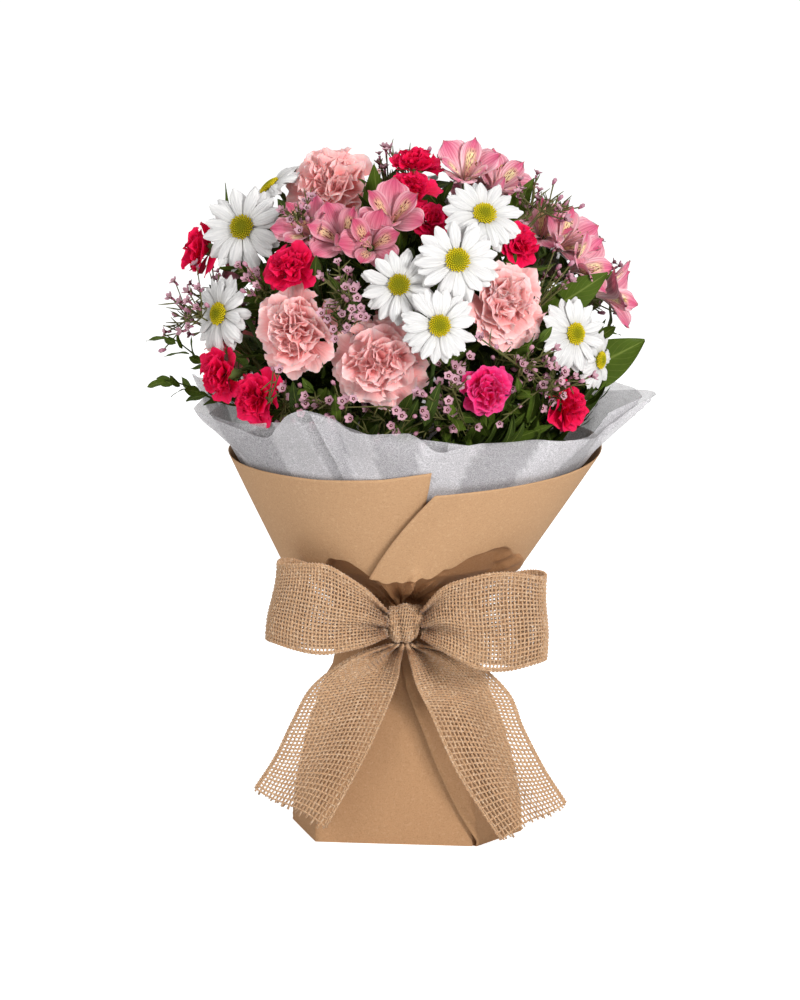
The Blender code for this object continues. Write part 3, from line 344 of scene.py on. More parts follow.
def curved(points: Sequence[Vector], share: float) -> Vector:
    """Point on a smooth curve that passes through all the points given.

    Args:
        points: the curve's points in order.
        share: 0 at the first point and 1 at the last.

    Returns:
        The point on the curve.
    """
    spans = len(points) - 1
    place = min(max(share, 0.0), 1.0) * spans
    index = min(int(place), spans - 1)
    part = place - index
    first, second = points[index], points[index + 1]
    before = points[index - 1] if index else first * 2 - second
    after = points[index + 2] if index + 2 <= spans else second * 2 - first
    return 0.5 * (2 * first + (second - before) * part
                  + (2 * before - 5 * first + 4 * second - after) * part ** 2
                  + (3 * first - before - 3 * second + after) * part ** 3)


def polar(place: Matrix, turn: float, reach: float, aside: float, height: float) -> Vector:
    """Place of a petal's point: its reach along the petal, how far aside, and its height over the face."""
    return place @ Vector((reach * cos(turn) - aside * sin(turn), reach * sin(turn) + aside * cos(turn),
                           height))


def ring(radius: float, turn: float, height: float = 0.0) -> Vector:
    """Point of a level ring round the axis, at a turn from +X in radians."""
    return Vector((radius * cos(turn), radius * sin(turn), height))


def wrapped(radius: float, angle: float, height: float, shift: float) -> Vector:
    """Point of the wrapper at an angle from the front, round a middle shifted towards +X."""
    return Vector((shift + radius * sin(angle), -radius * cos(angle), height))


def front_degrees(angle: float) -> float:
    """An angle from the front in degrees, from -180 to 180."""
    return degrees(atan2(sin(angle), cos(angle)))


def bell(value: float, middle: float, width: float) -> float:
    """Bell curve: 1 in the middle, and next to nothing two widths away."""
    return exp(-((value - middle) / width) ** 2)


def crisp(x: float, y: float, z: float, depth: float = 2) -> float:
    """Noise with sharp ridges: 1 on a ridge, and down to about 1 less the depth."""
    return 1 - depth * abs(noise.noise(Vector((x, y, z))))


def scatter(draw: random.Random, spread: float) -> Vector:
    """Random step in any direction."""
    return Vector([draw.gauss(0, spread) for _ in range(3)])


def from_bind(point: Vector) -> Vector:
    """Direction from the middle of the bind to a point."""
    return (point - Vector((0, 0, BIND_HEIGHT))).normalized()


def fork_seat(fork: Vector) -> Seat:
    """Seat of a spray whose stalks part at a fork."""
    return Seat(fork - from_bind(fork) * 0.0103, from_bind(fork), 0.004)


def linked(name: str, data: object) -> Object:
    """New object of the scene.

    Args:
        name: its name.
        data: its mesh, light or other data.

    Returns:
        The object.
    """
    thing = bpy.data.objects.new(name, data)
    bpy.context.scene.collection.objects.link(thing)
    return thing


class Maker:
    """A mesh in the making: sheets placed by a formula, with a pattern map and a tone for each point."""

    def __init__(self) -> None:
        """Start with nothing."""
        self.bm = bmesh.new()
        self.bm.loops.layers.uv.new("pattern")
        self.tone = self.bm.verts.layers.float_color.new("tone")

    def tint(self, verts: Iterable[bmesh.types.BMVert], tone: Colour) -> None:
        """Give points the tone that the material reads."""
        for vert in verts:
            vert[self.tone] = (*tone, 1.0)

    def sheet(self, columns: int, rows: int, shape: Shape, tone: Colour = PLAIN) -> None:
        """Add a sheet of faces.

        Args:
            columns: faces across.
            rows: faces along.
            shape: gives the place of a point from its shares across and along.
            tone: values that the material reads.
        """
        made = bmesh.ops.create_grid(self.bm, x_segments=columns, y_segments=rows, size=1, calc_uvs=True)
        for vert in made["verts"]:
            vert.co = shape((vert.co.x + 1) / 2, (vert.co.y + 1) / 2)
        self.tint(made["verts"], tone)

    def cone(self, sides: int, low: float, high: float, depth: float, place: Matrix, tone: Colour) -> None:
        """Add a closed cone that stands on its place.

        Args:
            sides: number of sides.
            low: radius at its foot.
            high: radius at its top.
            depth: its height.
            place: matrix of its foot.
            tone: values that the material reads.
        """
        centre = place @ Matrix.Translation((0, 0, depth / 2))
        made = bmesh.ops.create_cone(self.bm, cap_ends=True, cap_tris=False, segments=sides, radius1=low,
                                     radius2=high, depth=depth, matrix=centre)
        self.tint(made["verts"], tone)

    def ball(self, radius: float, height: float, place: Matrix, tone: Colour, detail: int = 1) -> None:
        """Add an egg shape.

        Args:
            radius: its half width.
            height: its half height.
            place: matrix of its middle.
            tone: values that the material reads.
            detail: how finely the ball is divided.
        """
        scaled = place @ Matrix.Diagonal((radius, radius, height, 1.0))
        made = bmesh.ops.create_icosphere(self.bm, subdivisions=detail, radius=1, matrix=scaled)
        self.tint(made["verts"], tone)

    def take(self, strands: "Strands", tone: Colour = PLAIN) -> None:
        """Add a bundle of strands.

        Args:
            strands: the bundle, which is used up.
            tone: values that the material reads.
        """
        old = set(self.bm.verts)
        mesh = strands.mesh()
        self.bm.from_mesh(mesh)
        self.tint([vert for vert in self.bm.verts if vert not in old], tone)
        bpy.data.meshes.remove(mesh)

    def thing(self, name: str, material: Material) -> Object:
        """Turn the mesh into an object.

        Args:
            name: the object's name.
            material: its finish.

        Returns:
            The object.
        """
        mesh = bpy.data.meshes.new(name)
        self.bm.to_mesh(mesh)
        self.bm.free()
        for face in mesh.polygons:
            face.use_smooth = True
        mesh.materials.append(material)
        return linked(name, mesh)

    def finish(self, name: str, material: Material, slot: str, nodes: Iterable[str] = ()) -> Object:
        """Turn the mesh into a piece of the bouquet.

        Args:
            name: the piece's name.
            material: its finish.
            slot: not used.
            nodes: the solids that it stands for.

        Returns:
            The piece.
        """
        piece = self.thing(name, material)
        nodes = tuple(nodes)
        if nodes:
            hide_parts(*nodes)
        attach(piece, "root")
        log.info("%s: %d faces", name, len(piece.data.polygons))
        return piece


class Strands:
    """Round strands, each along a path with a radius at each point."""

    def __init__(self, sides: int = 4) -> None:
        """Start a bundle of strands.

        Args:
            sides: 4 or 8, of each strand.
        """
        self.curve = bpy.data.curves.new("strands", "CURVE")
        self.curve.dimensions = "3D"
        self.curve.bevel_depth = 1.0
        self.curve.bevel_resolution = 0 if sides == 4 else 2
        self.curve.use_fill_caps = True

    def add(self, path: Sequence[Vector], radii: Sequence[float]) -> None:
        """Add a strand.

        Args:
            path: its points.
            radii: the radius at each point.
        """
        spline = self.curve.splines.new("POLY")
        spline.points.add(len(path) - 1)
        for point, place, radius in zip(spline.points, path, radii):
            point.co = (*place, 1.0)
            point.radius = radius

    def mesh(self) -> Mesh:
        """Turn the bundle into one mesh.

        Returns:
            The mesh.
        """
        thing = linked("strands", self.curve)
        bpy.context.view_layer.update()
        mesh = bpy.data.meshes.new_from_object(thing.evaluated_get(bpy.context.evaluated_depsgraph_get()))
        bpy.data.objects.remove(thing)
        bpy.data.curves.remove(self.curve)
        return mesh


class Web:
    """Shader nodes in the making. What goes into a step is a number or a socket."""

    def __init__(self, tree: NodeTree) -> None:
        """Work in a tree."""
        self.tree = tree

    def wire(self, value: object, target: NodeSocket) -> None:
        """Link a socket to an input, or set the input to a value.

        Args:
            value: the socket or the value.
            target: the input.
        """
        if isinstance(value, NodeSocket):
            self.tree.links.new(value, target)
        else:
            target.default_value = value

    def node(self, kind: str, settings: Optional[dict] = None, **inputs: object) -> Node:
        """Add a node and wire it.

        Args:
            kind: Blender's name for the node, after ShaderNode.
            settings: its properties.
            **inputs: what goes into it, by name with _ for a space, or in_N for input N.

        Returns:
            The node.
        """
        node = self.tree.nodes.new("ShaderNode" + kind)
        for name, value in (settings or {}).items():
            setattr(node, name, value)
        for name, value in inputs.items():
            self.wire(value, node.inputs[int(name[3:]) if name.startswith("in_") else name.replace("_", " ")])
        return node

    def sums(self, operation: str, first: object, second: object = 0.0, clamp: bool = False) -> NodeSocket:
        """One step of arithmetic by Blender's name for it, held within 0 and 1 if clamped."""
        return self.node("Math", {"operation": operation, "use_clamp": clamp}, in_0=first,
                         in_1=second).outputs[0]

    def times(self, first: object, second: object, clamp: bool = False) -> NodeSocket:
        """Product of two values."""
        return self.sums("MULTIPLY", first, second, clamp)

    def plus(self, first: object, second: object, clamp: bool = False) -> NodeSocket:
        """Sum of two values."""
        return self.sums("ADD", first, second, clamp)

    def less(self, first: object, second: object, clamp: bool = False) -> NodeSocket:
        """First value less the second."""
        return self.sums("SUBTRACT", first, second, clamp)

    def past(self, value: object, start: float, gain: float) -> NodeSocket:
        """How far a value is past a start, times a gain, held within 0 and 1."""
        return self.times(self.less(value, start), gain, True)

    def near(self, value: object, gain: float) -> NodeSocket:
        """1 where a value is 0, falling to 0 by a gain."""
        return self.less(1.0, self.times(value, gain), True)

    def mix(self, share: object, first: object, second: object, blend: str = "MIX") -> NodeSocket:
        """Mix two colours.

        Args:
            share: how much the second counts.
            first: a colour or socket.
            second: another.
            blend: how they are mixed.

        Returns:
            The mixed colour.
        """
        ends = [value if isinstance(value, NodeSocket) else (*value, 1.0) for value in (first, second)]
        return self.node("Mix", {"data_type": "RGBA", "blend_type": blend}, in_0=share, in_6=ends[0],
                         in_7=ends[1]).outputs[2]

    def tinted(self, share: object, first: object, second: object) -> NodeSocket:
        """Darken a colour by a share of another."""
        return self.mix(share, first, second, "MULTIPLY")

    def ramp(self, value: NodeSocket, stops: Stops) -> NodeSocket:
        """Colour that runs through stops.

        Args:
            value: the socket that it reads.
            stops: pairs of position and colour.

        Returns:
            The colour's socket.
        """
        node = self.node("ValToRGB", Fac=value)
        marks = node.color_ramp.elements
        while len(marks) < len(stops):
            marks.new(0.5)
        for mark, (position, colour) in zip(marks, stops):
            mark.position = position
            mark.color = (*colour, 1.0)
        return node.outputs[0]

    def share(self, value: NodeSocket, stops: Sequence[tuple[float, float]]) -> NodeSocket:
        """Share that runs through stops, as a grey."""
        return self.ramp(value, [(position, (grey,) * 3) for position, grey in stops])

    def parts(self, kind: str, source: NodeSocket) -> tuple[NodeSocket, NodeSocket]:
        """First two parts of a vector or colour."""
        return tuple(self.node("Separate" + kind, in_0=source).outputs[:2])

    def map(self) -> tuple[NodeSocket, NodeSocket]:
        """Shares across and along a sheet."""
        return self.parts("XYZ", self.node("UVMap", {"uv_map": "pattern"}).outputs[0])

    def tone(self) -> tuple[NodeSocket, NodeSocket]:
        """First two values of the tone."""
        return self.parts("Color", self.node("Attribute", {"attribute_name": "tone"}).outputs["Color"])

    def place(self) -> NodeSocket:
        """Place in the space of the object."""
        return self.node("TexCoord").outputs["Object"]


class Groups:
    """Effects that several materials share, each built once."""
    made: dict[str, NodeTree] = {}

    @classmethod
    def start(cls, name: str, inputs: Sequence[tuple[str, float]],
              outputs: Sequence[str]) -> tuple[Web, Node, Node]:
        """Start a node group of numbers.

        Args:
            name: its name.
            inputs: names and usual values of its inputs.
            outputs: names of its outputs.

        Returns:
            The web of its tree, its input node and its output node.
        """
        tree = bpy.data.node_groups.new(name, "ShaderNodeTree")
        for label, value in inputs:
            socket = tree.interface.new_socket(label, in_out="INPUT", socket_type="NodeSocketFloat")
            socket.default_value = value
        for label in outputs:
            tree.interface.new_socket(label, in_out="OUTPUT", socket_type="NodeSocketFloat")
        cls.made[name] = tree
        return Web(tree), tree.nodes.new("NodeGroupInput"), tree.nodes.new("NodeGroupOutput")

    @classmethod
    def streaks(cls) -> NodeTree:
        """Fine streaks that run along a petal, different on each one.

        Returns:
            The group: inputs Count and Reach, output Mask.
        """
        if "streaks" not in cls.made:
            web, given, out = cls.start("streaks", (("Count", 14.0), ("Reach", 1.4)), ("Mask",))
            across, along = web.map()
            spot = web.node("CombineXYZ", X=web.times(across, given.outputs["Count"]),
                            Y=web.times(along, given.outputs["Reach"]), Z=web.times(web.tone()[0], 40.0))
            cloud = web.node("TexNoise", Vector=spot.outputs[0], Scale=1.0, Detail=2.0, Roughness=0.5)
            web.wire(web.past(cloud.outputs[0], 0.38, 4.0), out.inputs["Mask"])
        return cls.made["streaks"]

    @classmethod
    def grain(cls) -> NodeTree:
        """Soft clouds and fine grain in the space of the object.

        Returns:
            The group: inputs Fine and Broad, outputs Grain and Cloud.
        """
        if "grain" not in cls.made:
            web, given, out = cls.start("grain", (("Fine", 1500.0), ("Broad", 40.0)), ("Grain", "Cloud"))
            for size, roughness, label in (("Fine", 0.6, "Grain"), ("Broad", 0.55, "Cloud")):
                cloud = web.node("TexNoise", Vector=web.place(), Scale=given.outputs[size], Detail=3.0,
                                 Roughness=roughness)
                web.wire(cloud.outputs[0], out.inputs[label])
        return cls.made["grain"]


class Paint(Web):
    """A material in the making, with a Principled shader."""

    def __init__(self, name: str, roughness: float, sheen: float = 0.0) -> None:
        """Start the material.

        Args:
            name: its name.
            roughness: how dull it is.
            sheen: how much velvety sheen it has.
        """
        self.material = bpy.data.materials.new(name)
        self.material.use_nodes = True
        super().__init__(self.material.node_tree)
        self.set(Roughness=roughness, Sheen_Weight=sheen, Specular_IOR_Level=0.15)

    def set(self, **inputs: object) -> None:
        """Set or wire inputs of the shader, by name with _ for a space."""
        for name, value in inputs.items():
            self.wire(value, self.tree.nodes["Principled BSDF"].inputs[name.replace("_", " ")])

    def soften(self, weight: float, scale: float) -> None:
        """Let light spread under the surface."""
        self.set(Subsurface_Weight=weight, Subsurface_Radius=(1.0, 0.5, 0.4), Subsurface_Scale=scale)

    def bump(self, height: NodeSocket, strength: float, distance: float) -> None:
        """Raise the surface by a height of 0 to 1, where 1 is a distance in metres."""
        self.set(Normal=self.node("Bump", Height=height, Strength=strength, Distance=distance).outputs[0])

    def streaks(self, count: float, reach: float) -> NodeSocket:
        """Mask of the shared streaks."""
        return self.node("Group", {"node_tree": Groups.streaks()}, Count=count, Reach=reach).outputs[0]

    def grain(self, fine: float, broad: float) -> tuple[NodeSocket, NodeSocket]:
        """Shared grain and clouds."""
        return tuple(self.node("Group", {"node_tree": Groups.grain()}, Fine=fine, Broad=broad).outputs)

    def aside(self, across: NodeSocket) -> NodeSocket:
        """How far a point is from the middle of its sheet."""
        return self.sums("ABSOLUTE", self.less(across, 0.5))


@dataclass(frozen=True)
class PetalFinish:
    """Finish of a petal: colours from its root to its rim, streaks, and how it varies."""
    name: str
    stops: Stops
    streak: Colour
    streaks: float
    count: float
    varies: Colour
    roughness: float = 0.5
    relief: float = 0.0004
    sheen: float = 0.15
    glow: float = 0.0

    def build(self) -> Material:
        """Make the material.

        Returns:
            The material.
        """
        paint = Paint(self.name, self.roughness, self.sheen)
        mask = paint.streaks(self.count, 1.6)
        body = paint.ramp(paint.map()[1], self.stops)
        streaked = paint.mix(paint.times(mask, self.streaks), body, self.streak)
        changed = paint.tinted(paint.tone()[0], streaked, self.varies)
        paint.set(Base_Color=changed, Specular_IOR_Level=0.06)
        paint.bump(mask, 0.5, self.relief)
        if self.glow:
            paint.soften(self.glow, 0.004)
            # Painted light: the petals emit a little of their own colour, to lift their shaded folds
            paint.set(Emission_Color=changed, Emission_Strength=0.07 * self.glow)
        return paint.material


@dataclass(frozen=True)
class ThroatFinish:
    """Finish of an alstroemeria's petals: pink, with a pale streaked throat on some and green tips."""
    name: str = "alstroemeria_petal"
    pink: Colour = (0.84, 0.32, 0.41)
    pale: Colour = (0.94, 0.69, 0.71)
    throat: Colour = (0.94, 0.84, 0.46)
    dash: Colour = (0.22, 0.01, 0.05)
    vein: Colour = (0.50, 0.05, 0.14)
    varies: Colour = (0.74, 0.50, 0.56)

    def build(self) -> Material:
        """Make the material.

        Returns:
            The material.
        """
        paint = Paint(self.name, 0.42, 0.1)
        across, along = paint.map()
        shade, kind = paint.tone()
        mask = paint.streaks(22.0, 1.4)
        side = paint.aside(across)
        body = paint.ramp(along, ((0.0, (0.80, 0.66, 0.50)), (0.30, self.pale), (0.66, self.pink),
                                  (0.94, (0.72, 0.13, 0.27)), (1.0, (0.36, 0.20, 0.14))))
        rimmed = paint.mix(paint.times(paint.times(side, side), 4.0, True), body, self.pale)
        veined = paint.mix(paint.times(mask, 0.55), rimmed, self.vein)
        low = paint.times(paint.less(0.80, along), 5.0, True)
        marked = paint.sums("GREATER_THAN", kind, 0.5)
        inside = paint.times(paint.times(paint.near(side, 3.2), low), marked, True)
        throated = paint.mix(paint.times(inside, 1.6, True), veined, self.throat)
        grid = paint.node("CombineXYZ", X=paint.times(across, 26.0), Y=paint.times(along, 9.0),
                          Z=paint.times(shade, 9.0))
        marks = paint.node("TexNoise", Vector=grid.outputs[0], Scale=1.0, Detail=0.0)
        dashes = paint.times(paint.past(marks.outputs[0], 0.56, 14.0), paint.times(inside, 2.5, True))
        paint.set(Base_Color=paint.tinted(shade, paint.mix(dashes, throated, self.dash), self.varies))
        paint.bump(mask, 0.4, 0.0003)
        paint.soften(0.25, 0.003)
        return paint.material


@dataclass(frozen=True)
class ToneFinish:
    """Finish whose colour is picked by the tone's second value: small parts in several colours."""
    name: str
    stops: Stops
    roughness: float = 0.6
    grain: float = 0.35
    relief: float = 0.0003
    varies: Colour = (0.62, 0.55, 0.58)
    dark: Colour = (0.45, 0.42, 0.40)

    def build(self) -> Material:
        """Make the material.

        Returns:
            The material.
        """
        paint = Paint(self.name, self.roughness)
        shade, kind = paint.tone()
        grain, cloud = paint.grain(900.0, 160.0)
        changed = paint.tinted(paint.times(shade, 0.5), paint.ramp(kind, self.stops), self.varies)
        paint.set(Base_Color=paint.tinted(paint.times(cloud, self.grain), changed, self.dark))
        paint.bump(grain, 0.4, self.relief)
        return paint.material


@dataclass(frozen=True)
class LeafFinish:
    """Finish of a leaf: midrib, side veins and a waxy surface."""
    name: str = "leaf"
    dark: Colour = (0.026, 0.044, 0.008)
    light: Colour = (0.100, 0.158, 0.014)
    rib: Colour = (0.19, 0.24, 0.05)

    def build(self) -> Material:
        """Make the material.

        Returns:
            The material.
        """
        paint = Paint(self.name, 0.42)
        across, along = paint.map()
        side = paint.aside(across)
        slant = paint.plus(paint.times(along, 9.0), paint.times(side, -6.0))
        veins = paint.past(paint.sums("SINE", paint.times(slant, tau)), 0.80, 4.0)
        rib = paint.near(side, 22.0)
        body = paint.mix(paint.tone()[0], self.dark, self.light)
        cloudy = paint.mix(paint.times(paint.grain(700.0, 70.0)[1], 0.6), body, self.dark)
        veined = paint.mix(paint.times(veins, 0.28), cloudy, self.rib)
        paint.set(Base_Color=paint.mix(paint.times(rib, 0.8), veined, self.rib), Specular_IOR_Level=0.07)
        paint.bump(paint.less(1.0, paint.sums("MAXIMUM", veins, rib)), 0.5, 0.0004)
        return paint.material


@dataclass(frozen=True)
class KraftFinish:
    """Finish of kraft paper: fine flecks, soft clouds, and painted shade below the cone's crease, light on the
    skirt and deepest at the waist and under the crease.
    """
    name: str = "kraft_paper"
    body: Colour = (0.510, 0.308, 0.166)
    dark: Colour = (0.290, 0.152, 0.070)
    light: Colour = (0.650, 0.440, 0.270)
    cloudy: Colour = (0.80, 0.74, 0.68)
    # Colour of the painted shade below the crease
    creased: Colour = (0.66, 0.54, 0.44)

    def build(self) -> Material:
        """Make the material.

        Returns:
            The material.
        """
        paint = Paint(self.name, 0.72)
        grain, cloud = paint.grain(900.0, 22.0)
        fleck, mottle = paint.grain(430.0, 260.0)
        body = paint.mix(paint.times(paint.past(grain, 0.47, 3.2), 0.50), self.body, self.dark)
        flecked = paint.mix(paint.times(paint.past(fleck, 0.55, 4.0), 0.55), body, self.light)
        clouded = paint.tinted(paint.times(cloud, 0.22), flecked, self.cloudy)
        # Painted shade: the sheet is darkened below the cone's crease, a little on the skirt and most at the
        # waist and under the crease
        painted_shade_zone = paint.share(paint.map()[1], ((0.20, 0.38), (0.38, 0.6), (0.44, 1), (0.703, 0.8), (0.709, 0)))
        paint.set(Base_Color=paint.tinted(painted_shade_zone, clouded, self.creased))
        paint.bump(paint.plus(grain, mottle), 0.35, 0.0004)
        return paint.material


@dataclass(frozen=True)
class NonwovenFinish:
    """Finish of nonwoven tissue: cool white, with a random web of fibres that lets light through."""
    name: str = "nonwoven"
    body: Colour = (0.47, 0.455, 0.475)
    thread: Colour = (0.86, 0.84, 0.865)

    def build(self) -> Material:
        """Make the material.

        Returns:
            The material.
        """
        paint = Paint(self.name, 0.55, 0.2)
        spot = paint.place()
        bent = paint.node("TexNoise", Vector=spot, Scale=120.0, Detail=2.0)
        moved = paint.node("Mix", {"data_type": "VECTOR"}, in_0=0.012, in_4=spot, in_5=bent.outputs["Color"])
        cells = paint.node("TexVoronoi", {"feature": "DISTANCE_TO_EDGE"}, Vector=moved.outputs[1],
                           Scale=560.0)
        fibres = paint.near(cells.outputs[0], 7.0)
        grain, cloud = paint.grain(700.0, 46.0)
        # Painted light: pleat panels that slope one way, marked in the tone, are made paler and more opaque
        painted_pleat_light = paint.tone()[0]
        pale = paint.plus(paint.times(fibres, 0.42), paint.times(painted_pleat_light, 0.34))
        solid = paint.plus(paint.plus(paint.times(painted_pleat_light, 0.14), paint.times(fibres, 0.24)), 0.36)
        paint.set(Base_Color=paint.mix(pale, self.body, self.thread),
                  Alpha=paint.plus(solid, paint.times(cloud, 0.20), True))
        paint.bump(paint.plus(fibres, grain), 0.25, 0.0002)
        return paint.material


@dataclass(frozen=True)
class JuteFinish:
    """Finish of jute yarn: tan, uneven from thread to thread and along each, with pale fibres, and painted
    shade in a ring round the knot.
    """
    name: str = "burlap"
    body: Colour = (0.540, 0.325, 0.175)
    dark: Colour = (0.190, 0.085, 0.035)
    light: Colour = (1.000, 0.830, 0.610)
    # Colour of the painted shade round the knot
    gathered: Colour = (0.50, 0.38, 0.28)

    def build(self) -> Material:
        """Make the material.

        Returns:
            The material.
        """
        paint = Paint(self.name, 0.85, 0.3)
        coarse = paint.grain(420.0, 60.0)[0]
        fine, cloud = paint.grain(2600.0, 140.0)
        body = paint.mix(paint.times(paint.past(coarse, 0.50, 3.0), 0.82), self.body, self.light)
        fibred = paint.mix(paint.times(paint.past(fine, 0.50, 3.0), 0.74), body, self.dark)
        plied = paint.mix(paint.times(cloud, 0.4), fibred, self.body)
        # Painted shade: a ring about 18 to 48 mm round the knot is darkened, most just outside the knot
        away = paint.node("VectorMath", {"operation": "DISTANCE"}, in_0=paint.place(),
                          in_1=tuple(KNOT_CENTRE))
        deep = paint.share(paint.times(away.outputs["Value"], 20.0),
                           ((0.36, 0), (0.42, 1), (0.56, 0.55), (0.95, 0)))
        paint.set(Base_Color=paint.tinted(deep, plied, self.gathered))
        paint.bump(fine, 0.8, 0.0004)
        return paint.material


class Finishes:
    """All finishes of the bouquet."""

    def __init__(self) -> None:
        """Make the materials."""
        self.kraft = KraftFinish().build()
        self.nonwoven = NonwovenFinish().build()
        self.jute = JuteFinish().build()
        self.leaf = LeafFinish().build()
        self.throat = ThroatFinish().build()
        # The daisy's grey streaks are painted shade in its grooves, which the bump also raises
        self.daisy = PetalFinish(
            "daisy_petal", ((0.0, (0.52, 0.54, 0.36)), (0.14, (0.66, 0.65, 0.625)),
                            (0.5, (0.74, 0.73, 0.715)), (1.0, (0.78, 0.77, 0.755))),
            (0.50, 0.50, 0.51), 0.45, 8.0, (0.94, 0.93, 0.93), 0.5, 0.0007, 0.05, 0.0).build()
        self.carnation = PetalFinish(
            "carnation_petal", ((0.0, (0.76, 0.13, 0.13)), (0.40, (0.83, 0.29, 0.28)),
                                (0.78, (0.88, 0.44, 0.43)), (1.0, (0.95, 0.68, 0.66))),
            (0.84, 0.30, 0.30), 0.24, 16.0, (0.97, 0.82, 0.83), 0.5, 0.0004, 0.05, 0.50).build()
        self.crimson = PetalFinish(
            "crimson_petal", ((0.0, (0.52, 0.00, 0.03)), (0.4, (0.68, 0.003, 0.045)),
                              (0.8, (0.80, 0.007, 0.078)), (1.0, (0.84, 0.020, 0.110))),
            (0.52, 0.0, 0.03), 0.35, 12.0, (0.94, 0.70, 0.80), 0.5, 0.0004, 0.0, 0.30).build()
        self.magenta = PetalFinish(
            "magenta_petal", ((0.0, (0.66, 0.004, 0.06)), (0.4, (0.76, 0.008, 0.09)),
                              (0.8, (0.82, 0.02, 0.16)), (1.0, (0.86, 0.09, 0.30))),
            (0.56, 0.0, 0.08), 0.35, 12.0, (0.92, 0.70, 0.82), 0.55, 0.0004, 0.0, 0.30).build()
        self.disc = ToneFinish(
            "daisy_disc", ((0.0, (0.26, 0.28, 0.010)), (0.45, (0.42, 0.40, 0.008)),
                           (0.8, (0.68, 0.56, 0.010)), (1.0, (0.76, 0.60, 0.015))), 0.8, 0.3).build()
        self.wax = ToneFinish(
            "waxflower", ((0.0, (0.62, 0.36, 0.43)), (0.40, (0.46, 0.17, 0.26)), (0.72, (0.13, 0.015, 0.035)),
                          (1.0, (0.66, 0.50, 0.42))), 0.4, 0.35).build()
        self.stamen = ToneFinish(
            "stamen", ((0.0, (0.84, 0.42, 0.42)), (0.5, (0.60, 0.46, 0.16)), (1.0, (0.24, 0.10, 0.05))),
            0.5).build()
        self.stem = ToneFinish(
            "stem", ((0.0, (0.055, 0.11, 0.028)), (0.5, (0.12, 0.20, 0.05)), (0.8, (0.15, 0.08, 0.04)),
                     (1.0, (0.45, 0.50, 0.28))), 0.55, 0.4).build()


class Space:
    """The space that blooms take, so that fillers keep out of it."""

    def __init__(self) -> None:
        """Start empty."""
        self.discs: list[tuple[Vector, Vector, float, float, float]] = []

    def add(self, place: Sequence[float], axis: Vector, radius: float, back: float, front: float) -> None:
        """Add a drum round an axis, from back behind the place to front before it."""
        self.discs.append((Vector(place), axis, radius, back, front))

    def is_clear(self, point: Vector, margin: float) -> bool:
        """Whether a point keeps a margin to every bloom.

        Args:
            point: the point.
            margin: the least distance.

        Returns:
            True if it does.
        """
        for place, axis, radius, back, front in self.discs:
            offset = point - place
            along = offset.dot(axis)
            if -back - margin < along < front + margin and (offset - axis * along).length < radius + margin:
                return False
        return True

    def line_is_clear(self, first: Vector, second: Vector, margin: float) -> bool:
        """Whether a straight line keeps the margin to every bloom."""
        return all(self.is_clear(first.lerp(second, step / 8), margin) for step in range(9))


def foot_reach(angle: float) -> float:
    """Distance from the axis to the creased outline of the foot, at an angle from the front.

    Args:
        angle: radians from the front.

    Returns:
        The distance.
    """
    way = Vector((sin(angle), -cos(angle)))
    reach = 0.0
    corners = [Vector(corner) for corner in FOOT_CORNERS]
    for first, second in zip(corners, corners[1:] + corners[:1]):
        side = second - first
        cross = way.x * side.y - way.y * side.x
        if abs(cross) > 1e-9:
            distance = (first.x * side.y - first.y * side.x) / cross
            along = (first.x * way.y - first.y * way.x) / cross
            if distance > 0 and -1e-6 <= along <= 1 + 1e-6:
                reach = max(reach, distance)
    return reach


def rim_shift(height: float) -> float:
    """How far the cone has moved towards +X at a height."""
    return RIM_SHIFT * max(0.0, (height - CREASE_HEIGHT) / (RIM_HEIGHT - CREASE_HEIGHT))


def cone_radius(height: float) -> float:
    """Radius of the paper's smooth cone at a height."""
    widened = (RIM_RADIUS - CREASE_RADIUS) * (height - CREASE_HEIGHT)
    return CREASE_RADIUS + widened / (RIM_HEIGHT - CREASE_HEIGHT)


def paper_radius(angle: float, height: float, valley: float, crease: float) -> float:
    """Radius of the wrapper.

    Args:
        angle: radians from the front.
        height: height above the ground.
        valley: 0 on a pleat's ridge, 1 in its fold.
        crease: height of the cone's lower edge.

    Returns:
        The radius.
    """
    if height < WAIST_BOTTOM:
        rise = height / WAIST_BOTTOM
        radius = WAIST_RADIUS + (1 - rise ** SKIRT_FULLNESS) * (foot_reach(angle) - WAIST_RADIUS)
        depth = max(0.0, (rise - 0.45) / 0.55) ** 2
    elif height < WAIST_TOP + 1e-6:
        radius = WAIST_RADIUS
        depth = 1.0
    elif height < crease:
        rise = (height - WAIST_TOP) / (crease - WAIST_TOP)
        radius = WAIST_RADIUS + (cone_radius(crease) - WAIST_RADIUS) * rise ** 1.25
        depth = (1 - rise) ** 1.3
    else:
        return cone_radius(height)
    return radius - depth * valley * (WAIST_RADIUS - WAIST_VALLEY)


